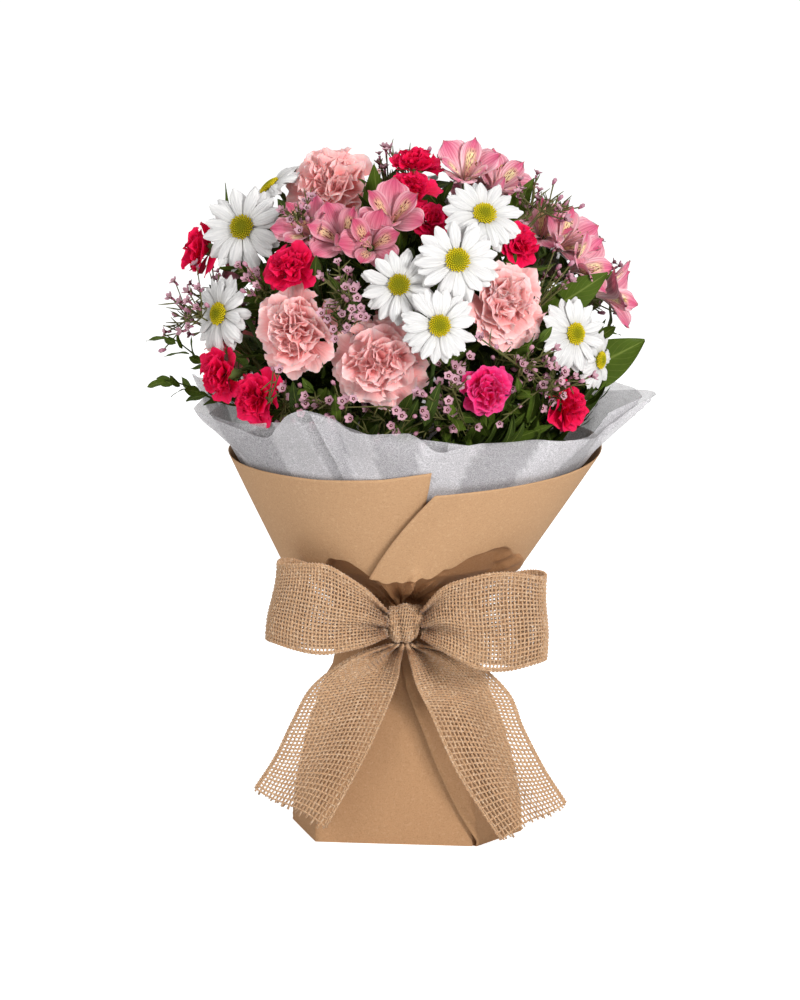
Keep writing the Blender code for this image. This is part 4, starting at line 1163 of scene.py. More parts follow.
@dataclass
class KraftWrap:
    """The kraft paper wrapper: one sheet, wound just over once, creased and pinched at the waist."""
    finishes: Finishes
    columns: int = 264
    rows: int = 110
    thickness: float = 0.0005
    levels: tuple[int, ...] = (0, 33, 44, 77, 109)

    def point(self, share: float, rise: float) -> Vector:
        """Place of a point of the sheet.

        Args:
            share: 0 at the inner end and 1 at the outer end of the sheet.
            rise: 0 at the hem's inner edge and 1 at the rim.

        Returns:
            The place.
        """
        row = max(0.0, rise * self.rows - 1)
        angle = self.turn(share, CREASE_HEIGHT)
        for _ in range(6):
            crease = self.crease(angle)
            steps = (0.0, WAIST_BOTTOM, WAIST_TOP, crease, between(RIM_LINE, share))
            height = between(tuple(zip(self.levels, steps)), row)
            angle = self.turn(share, height)
        valley = 0.5 + 0.5 * cos(tau * share * PLEATS)
        radius = paper_radius(angle, height, valley, crease) + self.crumple(share, height, angle, crease)
        if WAIST_TOP < height < crease:
            radius = max(radius, between(OUTER_LINER, height) + LINER_ROOM)
        radius += PAPER_STEP * share
        if rise * self.rows < 1:
            radius -= HEM_WIDTH * (1 - rise * self.rows)
        return wrapped(radius, angle, max(height, self.thickness / 2), rim_shift(height))

    def turn(self, share: float, height: float) -> float:
        """Angle from the front of a place on the sheet.

        Args:
            share: share along the sheet.
            height: height of the place.

        Returns:
            The angle.
        """
        outer_edge = between(OVERLAP_EDGE, height)
        inner_edge = outer_edge + between(OVERLAP_DEPTH, height)
        return radians(inner_edge + share * (outer_edge - 360 - inner_edge))

    def crease(self, angle: float) -> float:
        """Height of the edge where the smooth cone ends, which rises in front beside the knot.

        Args:
            angle: radians from the front.

        Returns:
            The height.
        """
        bearing = front_degrees(angle)
        rise = 0.0185 * bell(bearing, -30, 13) + 0.0250 * bell(bearing, 40, 24)
        rise -= 0.0090 * bell(abs(bearing), 98, 24)
        jagged = crisp(sin(angle) * 7, cos(angle) * 7, 1.7)
        return CREASE_HEIGHT + rise + 0.0030 * jagged - 0.0015

    def crumple(self, share: float, height: float, angle: float, crease: float) -> float:
        """Folds of the paper: deep and sharp under the crease, faint on the cone and the skirt.

        Args:
            share: place along the sheet.
            height: height above the ground.
            angle: radians from the front.
            crease: height of the cone's lower edge.

        Returns:
            How far the surface moves out.
        """
        under = min(1.0, (crease - height) / (crease - WAIST_TOP)) if WAIST_TOP < height < crease else 0.0
        bearing = front_degrees(angle)
        front = ease(1.4 - abs(bearing) / 70)
        inward = (0.0100 - 0.0030 * front) * sin(pi * under ** 0.36) if under else 0.0
        near = sin(pi * under) ** 0.75 if under else 0.0
        full = bell(bearing, 66, 24)
        belly = 0.0120 * full * sin(pi * under ** 0.7)
        below = bell(height, 0.140, 0.026) if height < WAIST_BOTTOM + 0.004 else 0.0
        ridge = crisp(share * 17 + height * 24, height * 17, 8.4)
        sharp = crisp(share * 40 - height * 60, height * 50, 3.1)
        fan = atan2(height - 0.158, 0.060 * abs(radians(bearing)) + 0.002)
        rays = crisp(fan * 7.0, share * 5.0, 6.2 if bearing > 0 else 1.3, 2.4)
        deep = 0.0080 * ridge * (1 - front) + 0.0115 * rays * front
        pinch = 0.0130 * bell(bearing, 5, 1.6) * bell(height, 0.205, 0.011)
        soft = noise.noise(Vector((sin(angle) * 2.2, cos(angle) * 2.2, height * 9)))
        calm = 0.0013 * soft if height > 0.012 else 0.0
        lifted = 0.0024 * ease((share - 0.965) / 0.035) if height > 0.004 else 0.0
        return (near * (deep + 0.0022 * sharp - 0.0030) - inward * (1 - full) + belly + pinch + lifted
                + below * (0.0026 * ridge + 0.0008 * sharp - 0.0012) + calm)

    def build(self) -> Object:
        """Make the wrapper.

        Returns:
            The piece.
        """
        maker = Maker()
        maker.sheet(self.columns, self.rows, self.point)
        piece = maker.finish("kraft_paper_wrap", self.finishes.kraft, "kraft_paper", ("kraft_wrap",))
        wall = piece.modifiers.new("wall", "SOLIDIFY")
        wall.thickness = self.thickness
        wall.offset = 0
        piece.data.set_sharp_from_angle(angle=radians(32))
        return piece


@dataclass
class Liner:
    """A nonwoven sheet that lines the cone, laps over its own end and stands above the paper in waves."""
    finishes: Finishes
    name: str
    node: str
    profile: tuple[tuple[float, float], ...]
    edge: tuple[tuple[float, float], ...]
    phase: float
    flare: float
    end: tuple[float, float]
    flat: tuple[float, float]
    lap: float = 38.0
    pleats: list[tuple[float, float]] = field(default_factory=list)

    def __post_init__(self) -> None:
        """Lay out the pleats: flat panels that lean in and out by turns, the same in both liners."""
        draw = random.Random(SEED)
        spot, way = -180.0, 1
        while spot < 170:
            self.pleats.append((spot, way * draw.uniform(0.35, 1.0)))
            spot += draw.uniform(7, 22)
            way = -way
        self.pleats.append((180.0, self.pleats[0][1]))

    def point(self, share: float, rise: float) -> Vector:
        """Place of a point of the sheet.

        Args:
            share: along the sheet, 0 at its inner end and 1 at its outer end.
            rise: 0 at the waist and 1 at the top edge.

        Returns:
            The place.
        """
        stop = self.end[0] + (self.end[1] - self.end[0]) * rise
        bearing = (stop + self.lap - share * (360 + self.lap) + 180) % 360 - 180
        angle = radians(bearing)
        top = self.top(bearing) - 0.012 * (1 - ease(share / 0.10))
        foot = self.profile[0][0]
        height = foot + (top - foot) * rise
        if height <= RIM_HEIGHT:
            radius = between(self.profile, height)
        else:
            radius = self.profile[-1][1] + self.flare * (height - RIM_HEIGHT)
        free = min(1.25, max(0.0, height - RIM_HEIGHT - 0.004) / 0.026)
        held = min(1.0, max(0.0, height - 0.215) / 0.08)
        folds = self.fold(bearing, height)
        wrinkle = noise.noise(Vector((sin(angle) * 8, cos(angle) * 8, height * 22 + self.phase)))
        creased = crisp(angle * 2.6 + height * 20, height * 9, self.phase)
        radius += (0.0008 * held + 0.0092 * free) * folds
        radius += (0.0006 * held + 0.0016 * free) * wrinkle + 0.0018 * free * creased + 0.0014 * held * share
        radius += 0.0034 * free * ease((share - 0.93) / 0.07)
        return wrapped(radius, angle, height, rim_shift(height))

    def fold(self, bearing: float, height: float) -> float:
        """How far a pleat leans out, from -1 to 1. The pleats fan out towards the top edge."""
        lean = bearing - PLEAT_FAN * sin(radians(bearing)) * max(0.0, height - RIM_HEIGHT)
        return between(self.pleats, (lean + 180) % 360 - 180)

    def top(self, bearing: float) -> float:
        """Height of the top edge, with small waves.

        Args:
            bearing: degrees from the front.

        Returns:
            The height.
        """
        for (low, first), (high, second) in zip(self.edge, self.edge[1:]):
            if bearing <= high:
                part = ease((bearing - low) / (high - low)) * 0.6 + 0.4 * (bearing - low) / (high - low)
                return first + (second - first) * part
        return self.edge[-1][1]

    def build(self) -> Object:
        """Make the liner.

        Returns:
            The piece.
        """
        maker = Maker()
        maker.sheet(260, 44, self.point)
        # Painted light: the tone marks the pleat panels that slope one way, which the tissue's finish paints
        # paler
        for vert in maker.bm.verts:
            bearing = degrees(atan2(vert.co.x - rim_shift(vert.co.z), -vert.co.y))
            rising = self.fold(bearing + 0.7, vert.co.z) > self.fold(bearing - 0.7, vert.co.z)
            maker.tint([vert], (float(rising), 0.0, 0.0))
        piece = maker.finish(self.name, self.finishes.nonwoven, "nonwoven", (self.node,))
        return piece


@dataclass
class WovenRibbon:
    """A length of open-weave burlap ribbon, woven thread by thread over a surface."""
    finishes: Finishes
    name: str
    nodes: tuple[str, ...]
    surface: Shape
    length: float
    width: float
    flat: tuple[float, float]
    held: str = "gathered"
    rests_on: tuple[str, ...] = ("kraft_paper_wrap",)
    frayed: bool = False
    closed: bool = False
    rear: float = 1.0
    seed: int = 1

    def net(self) -> tuple[list[list[Vector]], list[list[Vector]]]:
        """Crossing points of the threads, and the surface's normal at each.

        Returns:
            The points and the normals, by warp and pick.
        """
        warps, picks = max(3, round(self.width / THREAD_PITCH)), max(4, round(self.length / THREAD_PITCH))
        places = [[self.surface((warp + 0.5) / warps, pick / picks) for pick in range(picks + 1)]
                  for warp in range(warps)]
        normals = []
        for warp in range(warps):
            row = []
            for pick in range(picks + 1):
                across = places[min(warp + 1, warps - 1)][pick] - places[max(warp - 1, 0)][pick]
                along = places[warp][min(pick + 1, picks)] - places[warp][max(pick - 1, 0)]
                row.append(across.cross(along).normalized())
            normals.append(row)
        return places, normals

    def build(self) -> Object:
        """Weave the ribbon.

        Returns:
            The piece.
        """
        draw = random.Random(self.seed)
        places, normals = self.net()
        warps, picks = len(places), len(places[0]) - 1
        lengthwise, crosswise = Strands(), Strands()
        for warp in range(warps):
            body = THREAD_RADIUS * draw.uniform(0.85, 1.15)
            path = [places[warp][pick] + normals[warp][pick] * THREAD_RISE * (1 if (warp + pick) % 2 else -1)
                    for pick in range(picks + 1)]
            if self.frayed:
                path.append(path[-1] + (path[-1] - path[-2]) * draw.uniform(0.2, 1.1))
            lengthwise.add(path, [body * draw.uniform(0.9, 1.12) * (self.rear if 2 * pick > picks else 1.0)
                                  for pick in range(len(path))])
        for pick in range(picks + (0 if self.closed else 1)):
            body = THREAD_RADIUS * draw.uniform(0.85, 1.2) * (self.rear if 2 * pick > picks else 1.0)
            path = [places[warp][pick] - normals[warp][pick] * THREAD_RISE * (1 if (warp + pick) % 2 else -1)
                    for warp in range(warps)]
            path = [self.surface(0.0, pick / picks)] + path + [self.surface(1.0, pick / picks)]
            crosswise.add(path, [body * draw.uniform(0.9, 1.12) for _ in path])
        for side in (0.0, 1.0):
            self.bind_edge(lengthwise, side, picks)
        along = self.bundle(lengthwise, self.name + "_lengthwise", ())
        across = self.bundle(crosswise, self.name, self.nodes)
        return across

    def bundle(self, strands: Strands, name: str, nodes: tuple[str, ...]) -> Object:
        """Turn threads into a piece.

        Args:
            strands: the threads.
            name: the piece's name.
            nodes: the solids that it stands for.

        Returns:
            The piece.
        """
        maker = Maker()
        maker.take(strands)
        bmesh.ops.remove_doubles(maker.bm, verts=maker.bm.verts, dist=1e-7)
        return maker.finish(name, self.finishes.jute, "burlap", nodes)

    def bind_edge(self, strands: Strands, side: float, picks: int) -> None:
        """Wired edge: a cord wrapped with overcast yarn.

        Args:
            strands: the bundle that it joins.
            side: 0 or 1, the edge.
            picks: threads along the ribbon.
        """
        steps = picks * 5
        inner = 0.02 if side < 0.5 else 0.98
        core = [self.surface(side, step / picks) for step in range(picks + 1)]
        strands.add(core, [EDGE_CORD] * len(core))
        wrap = []
        for step in range(steps + 1):
            share = step / steps
            spot = self.surface(side, share)
            out = (spot - self.surface(inner, share)).normalized()
            along = self.surface(side, min(1.0, share + 0.004)) - self.surface(side, max(0.0, share - 0.004))
            up = out.cross(along.normalized())
            turn = tau * step / 5
            wrap.append(spot + out * EDGE_REACH * cos(turn) + up * EDGE_REACH * sin(turn))
        strands.add(wrap, [EDGE_YARN] * len(wrap))


@dataclass
class Bow:
    """The burlap bow: band round the waist, two loops, two tails and the knot."""
    finishes: Finishes
    gather: float = 0.0066

    def fold(self, across: float, along: float, reach: float, waves: float) -> float:
        """Depth of the gathers across the ribbon, which have died out at a reach from the knot."""
        fade = max(0.0, 1 - along / reach) ** 1.4
        return self.gather * fade * sin(tau * waves * across + 0.6)

    def loop(self, stations: Sequence[Sequence[float]], side: float) -> Shape:
        """Surface of a loop, from the knot's front, out and back.

        Args:
            stations: x, y, lower edge and upper edge at each station.
            side: -1 left, 1 right.

        Returns:
            The surface.
        """
        low = [Vector((x, y, bottom)) for x, y, bottom, _ in stations]
        high = [Vector((x, y, top)) for x, y, _, top in stations]

        def surface(across: float, along: float) -> Vector:
            """Place on the loop.

            Args:
                across: share across the ribbon.
                along: share along it.

            Returns:
                The place.
            """
            under, over = curved(low, along), curved(high, along)
            spot = under.lerp(over, across)
            front = cos(pi * along)
            bulge = 0.004 * sin(pi * across)
            away = min(along, 1 - along)
            folds = self.fold(across, away, 0.40, 2.2)
            ripple = 0.0012 * sin(5.2 * across * pi + 14 * along) * ease(away * 5)
            spot.y -= (bulge * front + folds + ripple) * (1 if along < 0.5 else 0.5)
            spot.z += 0.0015 * sin(along * 17 + across * 3) * ease(away * 4)
            spot.x += side * 0.001 * sin(across * 6)
            if side < 0:
                spot.x += 0.0085 * across * ease((-spot.x - 0.03) / 0.065)
            return spot
        return surface

    def tail(self, stations: Sequence[Sequence[float]], phase: float) -> Shape:
        """Surface of a tail, from the knot down to its cut end.

        Args:
            stations: left x, left z, right x, right z and y at each station.
            phase: where its folds start.

        Returns:
            The surface.
        """
        left = [Vector((x, y, z)) for x, z, _, _, y in stations]
        right = [Vector((x, y, z)) for _, _, x, z, y in stations]

        def surface(across: float, along: float) -> Vector:
            """Place on the tail.

            Args:
                across: share across the ribbon.
                along: share along it.

            Returns:
                The place.
            """
            spot = curved(left, along).lerp(curved(right, along), across)
            folds = self.fold(across, along, 0.50, 2.2)
            hang = 0.0062 * (0.4 + sin(tau * across + phase)) * ease(along * 3)
            spot.y -= folds + hang + 0.0020 * sin(9 * along + 3 * across)
            return spot
        return surface

    def knot(self) -> Shape:
        """Surface of the knot: ribbon drawn into cords and wrapped over the middle.

        Returns:
            The surface.
        """
        def surface(across: float, along: float) -> Vector:
            """Place on the knot.

            Args:
                across: share across the knot.
                along: share round it.

            Returns:
                The place.
            """
            turn = tau * along
            side = 2 * across - 1
            cord = 0.0044 * abs(sin(pi * (across * 2.1 + 0.34 * sin(turn) + 0.30)))
            swell = sqrt(max(0.0, 1 - (0.90 * side) ** 2))
            deep = (KNOT_HALF.y - 0.007) * (0.50 + 0.50 * swell) + cord
            tall = (KNOT_HALF.z - 0.0024) * (0.62 + 0.38 * swell) + 0.4 * cord
            side *= 0.90 + 0.12 * sin(turn)
            lateral = side * KNOT_HALF.x * 0.98 + 0.0022 * sin(turn) * (1 - 0.5 * abs(side))
            return KNOT_CENTRE + Vector((lateral, -deep * cos(turn), tall * sin(turn)))
        return surface

    def band(self) -> Shape:
        """Surface of the band round the waist, in three soft folds.

        Returns:
            The surface.
        """
        def surface(across: float, along: float) -> Vector:
            """Place on the band.

            Args:
                across: share across the band.
                along: share round it.

            Returns:
                The place.
            """
            angle = tau * along
            sag = 0.0016 * sin(3 * angle + 1) + 0.0010 * sin(7 * angle)
            radius = BAND_RADIUS + 0.0011 * cos(tau * 3 * across) + 0.0005 * sin(19 * angle)
            height = BIND_HEIGHT - 0.0100 + 0.0200 * across + sag
            return Vector((radius * sin(angle), radius * cos(angle), height))
        return surface

    def build(self) -> None:
        """Make every piece of the bow."""
        shapes = (
            ("burlap_loop_left", "bow_loop_left", self.loop(LOOP_LEFT, -1), 0.236, RIBBON_WIDTH,
             (0.0635, 0.240), {"rear": 1.4}),
            ("burlap_loop_right", "bow_loop_right", self.loop(LOOP_RIGHT, 1), 0.240, RIBBON_WIDTH,
             (0.0635, 0.244), {"rear": 1.4}),
            ("burlap_tail_left", "bow_tail_left", self.tail(TAIL_LEFT, 0.4), 0.152, RIBBON_WIDTH,
             (0.0635, 0.165), {"held": "hung", "frayed": True}),
            ("burlap_tail_right", "bow_tail_right", self.tail(TAIL_RIGHT, 2.6), 0.156, RIBBON_WIDTH,
             (0.0635, 0.170), {"held": "hung", "frayed": True}),
            ("burlap_knot", "bow_knot", self.knot(), 0.080, 0.036, (0.030, 0.078), {"closed": True}),
            ("burlap_band", "ribbon_band", self.band(), 0.287, 0.0240, (0.024, 0.288), {"closed": True}),
        )
        for seed, (name, node, surface, length, width, flat, ways) in enumerate(shapes, 1):
            WovenRibbon(self.finishes, name, (node,), surface, length, width, flat, seed=seed, **ways).build()


@dataclass
class DaisyHead:
    """A daisy: ray petals in two layers and a dome of disc florets."""
    bloom: Bloom
    draw: random.Random
    outer: int = 14
    inner: int = 12
    hub: float = 0.0050
    florets: int = 120

    def ray(self, turn: float, length: float, width: float, lift: float, droop: float) -> Shape:
        """Surface of one ray petal.

        Args:
            turn: its direction in radians.
            length: from the hub to the tip.
            width: its full width.
            lift: height of its root.
            droop: how far the tip bends down.

        Returns:
            The surface.
        """
        place = frame_at(self.bloom.place, self.bloom.axis)
        twist = self.draw.uniform(-0.35, 0.35)
        bow = self.draw.uniform(0.0008, 0.0028)
        notch = self.draw.uniform(0.0, 0.0005)
        bend = self.draw.uniform(-0.0018, 0.0018)

        def surface(across: float, along: float) -> Vector:
            """Place on the petal.

            Args:
                across: share across the petal.
                along: share from its root to its end.

            Returns:
                The place.
            """
            side = 2 * across - 1
            grow = 0.36 + 0.64 * ease(along / 0.55)
            end = max(0.0, (along - 0.70) / 0.30)
            half = width / 2 * grow * sqrt(max(0.0, 1 - 0.42 * end ** 4))
            reach = self.hub + length * along * (1 - 0.19 * side * side * end)
            reach -= notch * (1 + cos(4 * pi * side)) * end
            height = lift + bow * sin(pi * along) - droop * along ** 2.2
            height += 0.00052 * cos(3 * pi * side) * (1 - 0.6 * end) - 0.0016 * side * side * grow
            sway = side * half
            return polar(place, turn, reach, sway + bend * along * along, height + sway * twist * along)
        return surface

    def rays(self, maker: Maker) -> None:
        """Add the petals.

        Args:
            maker: the mesh that takes them.
        """
        half, draw = self.bloom.half, self.draw
        for count, lift, share in ((self.outer, -0.0012, 1.0), (self.inner, 0.0006, 0.94)):
            offset = draw.uniform(0, 6)
            for index in range(count):
                turn = offset + tau * (index + draw.uniform(-0.26, 0.26)) / count
                length = (half - self.hub) * share * draw.uniform(0.90, 1.05)
                width = half * draw.uniform(0.265, 0.325)
                droop = draw.gauss(0.0018, 0.0022) + (0.0016 if share == 1.0 else 0)
                maker.sheet(8, 9, self.ray(turn, length, width, lift, droop), (draw.random(), 0, 0))

    def disc(self, maker: Maker) -> None:
        """Add the dome of florets.

        Args:
            maker: the mesh that takes them.
        """
        place = frame_at(self.bloom.place, self.bloom.axis, self.draw.uniform(0, 6))
        radius = 0.0084 * self.bloom.half / 0.031
        size = radius * 0.085
        maker.ball(radius * 0.92, 0.0036, place @ Matrix.Translation((0, 0, 0.0006)), (0.8, 0.10, 0), 2)
        dull = 0.75 if self.bloom.name in DULL_DAISIES else 0.0
        for index in range(self.florets):
            share = sqrt((index + 0.5) / self.florets)
            turn = index * GOLDEN_TURN
            high = 0.0006 + 0.0036 * sqrt(max(0.0, 1 - (0.92 * share) ** 2))
            lean = ring(0.5 * share, turn, 1).normalized()
            spot = place @ frame_at(ring(radius * share, turn, high - 0.0004), lean)
            maker.cone(5, size, size * (0.5 if share < 0.45 else 0.8), 0.0013, spot,
                       (self.draw.random() * 0.5 + dull, min(1.0, 0.1 + 0.95 * share) * (1 - 0.25 * dull), 0))


@dataclass
class RuffledHead:
    """A carnation: many fan petals with cut, waved edges, crumpled more towards the middle."""
    bloom: Bloom
    draw: random.Random
    kind: Kind

    def fan(self, turn: float, low: float, high: float, reach: float, spread: float, inner: float,
            columns: int) -> Shape:
        """Surface of one fan petal.

        Args:
            turn: its direction in radians.
            low: slope at its root, in radians.
            high: slope at its rim, in radians.
            reach: its length.
            spread: half the angle of the fan, in radians.
            inner: 0 for the outermost petals, 1 for the innermost.
            columns: faces across, which its teeth follow.

        Returns:
            The surface.
        """
        half = self.bloom.half
        place = frame_at(self.bloom.place, self.bloom.axis)
        phase, second = self.draw.uniform(0, 6.3), self.draw.uniform(0, 6.3)
        waves = self.draw.uniform(0.55, 1.15) + 0.7 * inner
        depth = half * (0.070 + 0.125 * inner) * self.draw.uniform(0.6, 1.35)
        cup = half * 0.16 * self.draw.uniform(-0.2, 1.0)
        jitter = [self.draw.uniform(-1, 1) for _ in range(columns + 1)]
        root = Vector((0.10 * half * (1 - 0.7 * inner), 0, (-0.64 + 0.14 * inner) * half))
        slip = Vector((self.draw.gauss(0, 0.15), self.draw.gauss(0, 0.15), 0)) * half * inner ** 0.7
        roll = self.draw.gauss(0, 0.22)

        def surface(across: float, along: float) -> Vector:
            """Place on the petal.

            Args:
                across: share across the petal.
                along: share from its root to its end.

            Returns:
                The place.
            """
            side = 2 * across - 1
            edge = ease((along - 0.80) / 0.20)
            column = round(across * columns)
            cut = (0.010 * (-1) ** column + 0.012 * jitter[column]) * edge
            cut += 0.055 * sin(2.2 * pi * side + second) * edge
            out = reach * along * (1 - 0.13 * side * side * edge + cut)
            swing = side * spread * (0.34 + 0.66 * along)
            forward, lateral = out * cos(swing), out * sin(swing)
            part = forward / reach
            mean, slope = low + (high - low) * part / 2, low + (high - low) * part
            grow = along ** 1.6
            second_wave = (0.20 + 0.25 * inner) * sin(2.6 * waves * pi * side + second)
            ruffle = depth * grow * (sin(waves * pi * side + phase) + second_wave)
            ruffle += cup * side * side * along + roll * side * half * 0.4 * along
            reached = root.x + forward * cos(mean) - sin(slope) * ruffle
            return polar(place, turn, reached + slip.x, lateral + slip.y,
                         root.z + forward * sin(mean) + cos(slope) * ruffle)
        return surface

    def petals(self, maker: Maker) -> None:
        """Add all petals.

        Args:
            maker: the mesh that takes them.
        """
        half, draw = self.bloom.half, self.draw
        columns, rows, layers = PETAL_LAYERS[self.kind]
        for layer, (count, low, high) in enumerate(layers):
            inner = layer / (len(layers) - 1)
            offset = draw.uniform(0, 6)
            for index in range(count):
                turn = offset + tau * (index + draw.uniform(-0.42, 0.42) * (1 + 0.8 * inner)) / count
                tilt = draw.gauss(0, 8 + 5 * inner)
                mean = radians(min(88, max(2, (low + high) / 2 + tilt)))
                reach = 0.92 / hypot(cos(mean), sin(mean) / 0.76) * half * draw.uniform(0.82, 1.08)
                spread = radians(draw.uniform(36, 54))
                # Petal tone: random from petal to petal, and larger towards the middle, where the darker tint
                # is painted shade of the bloom's deep middle
                tone = (draw.random() * (0.35 + 0.45 * inner), inner, 0)
                maker.sheet(columns, rows, self.fan(turn, radians(low + tilt), radians(high + tilt), reach,
                                                    spread, inner, columns), tone)


@dataclass
class AlstroemeriaCluster:
    """A head of alstroemeria: funnel flowers on stalks from one fork, and pointed buds between them."""
    name: str
    fork: tuple[float, float, float]
    blooms: tuple[Bloom, ...]
    finishes: Finishes
    draw: random.Random
    # True for a head painted darker, as painted shade
    deep: bool

    def tepal(self, place: Matrix, half: float, turn: float, wide: float, low: float, high: float,
              long: float) -> Shape:
        """Surface of one of the six petals.

        Args:
            place: matrix of the flower.
            half: half the flower's width.
            turn: its direction in radians.
            wide: its full width.
            low: slope at its root, in radians.
            high: slope at its tip, in radians.
            long: its length.

        Returns:
            The surface.
        """
        ripple, phase = self.draw.uniform(0.0004, 0.0012), self.draw.uniform(0, 6)
        roll = self.draw.uniform(-0.25, 0.25)

        def surface(across: float, along: float) -> Vector:
            """Place on the petal.

            Args:
                across: share across the petal.
                along: share from its root to its end.

            Returns:
                The place.
            """
            side = 2 * across - 1
            body = sin(pi * min(1.0, 0.05 + 0.80 * along ** 1.65)) ** 0.85
            point = max(0.0, (along - 0.80) / 0.20)
            width = wide / 2 * (0.18 * (1 - along) + body) * sqrt(max(0.0, 1 - 0.86 * point ** 3))
            out = long * along * (1 + (0.040 * (1 - abs(side)) - 0.050 * side * side) * point)
            mean, slope = low + (high - low) * along / 2, low + (high - low) * along
            lift = ripple * sin(7 * side + phase) * along
            lift -= 0.30 * width * (1 - 1.7 * side * side) * (1 - along) ** 0.7
            lift += side * roll * width * along
            return polar(place, turn, 0.0020 + out * cos(mean) - sin(slope) * lift, side * width,
                         -0.86 * half + out * sin(mean) + cos(slope) * lift)
        return surface

    def build(self) -> None:
        """Make the cluster: petals as one piece, stamens and stalks as two more."""
        petals, stamens, stalks, threads = Maker(), Maker(), Strands(8), Strands()
        fork, draw = metres(self.fork), self.draw
        way = from_bind(fork)
        stalks.add([fork - way * 0.012, fork + way * 0.002], [0.0022, 0.0026])
        for bloom in self.blooms:
            half = bloom.half
            # Painted shade: heads on the left, away from the light, are tinted darker on top of their random
            # tone
            roll, shade = draw.uniform(0, 6), draw.random() * 0.35 + (0.65 if self.deep else 0.0)
            place = frame_at(bloom.place, bloom.axis, roll)
            for index in range(6):
                turn = index * pi / 3 + draw.uniform(-0.06, 0.06)
                if index % 2 == 0:
                    wide, long, low = half * 1.02, half * 1.38, radians(72)
                    high = radians(draw.uniform(2, 16))
                else:
                    wide, long, low = half * 0.66, half * 1.36, radians(78)
                    high = radians(draw.uniform(18, 34))
                marked = {1: 1.0, 3: 1.0, 5: 0.6}.get(index, 0.0)
                petals.sheet(8, 11, self.tepal(place, half, turn, wide, low, high, long),
                             (shade, marked, draw.random()))
            for index in range(6):
                turn = draw.uniform(-0.9, 0.9)
                start = ring(0.0010, index, -0.80 * half)
                height = draw.uniform(-0.1, 0.12) * half
                tip = Vector((0.0055 * cos(turn) + 0.002, 0.0060 * sin(turn), height))
                middle = start.lerp(tip, 0.5) + Vector((-0.0012, 0, 0.001))
                path = [place @ curved([start, middle, tip], step / 5) for step in range(6)]
                threads.add(path, [0.00036] * 6)
                stamens.ball(0.0006, 0.0013, place @ Matrix.Translation(tip),
                             (draw.random(), draw.choice((0.5, 1.0)), 0))
            back = bloom.place - bloom.axis * 1.36 * half
            neck = bloom.place - bloom.axis * 0.84 * half
            bend = fork.lerp(back, 0.6) - bloom.axis * 0.004
            path = [curved([fork, bend, back, neck], step / 9) for step in range(10)]
            stalks.add(path, [0.0014 + 0.0009 * ease((step - 5) / 4) for step in range(10)])
        self.add_buds(petals, stalks, fork, way)
        stamens.take(threads, (0.2, 0.0, 0))
        petals.finish(self.name + "_flowers", self.finishes.throat, "alstroemeria_petal", (self.name,))
        stamens.finish(self.name + "_stamens", self.finishes.stamen, "alstroemeria_petal")
        green = Maker()
        green.take(stalks, (0.3, 0.55, 0))
        green.finish(self.name + "_stalks", self.finishes.stem, "stem")

    def add_buds(self, petals: Maker, stalks: Strands, fork: Vector, way: Vector) -> None:
        """Pointed buds that stand between the open flowers.

        Args:
            petals: the mesh that takes their petals.
            stalks: the bundle that takes their stalks.
            fork: where the stalks part.
            way: direction of the stem.
        """
        draw = self.draw
        middle = sum((bloom.place for bloom in self.blooms), Vector()) / len(self.blooms)
        for index in range(2):
            lean = (middle - fork).normalized() + Vector((draw.gauss(0, 0.25), draw.gauss(0, 0.25), 0.05))
            lean.normalize()
            tip = fork + lean * ((middle - fork).length + draw.uniform(-0.006, 0.010))
            place = frame_at(tip, lean, index)
            for petal in range(3):
                def surface(across: float, along: float, turn: float = petal * tau / 3) -> Vector:
                    """Place on the bud's petal.

                    Args:
                        across: share across the petal.
                        along: share from its root to its end.
                        turn: angle of the piece round its flower.

                    Returns:
                        The place.
                    """
                    side = (2 * across - 1) * 1.25
                    radius = 0.0042 * sin(pi * min(0.97, 0.10 + 0.88 * along)) ** 0.8
                    return place @ ring(radius, turn + side, -0.017 + 0.022 * along)
                petals.sheet(5, 7, surface, (draw.random(), 0, 0))
            base = tip - lean * 0.017
            stalks.add([fork, fork.lerp(base, 0.5) + way * 0.002, base, base + lean * 0.003],
                       [0.0013, 0.0012, 0.0013, 0.0020])


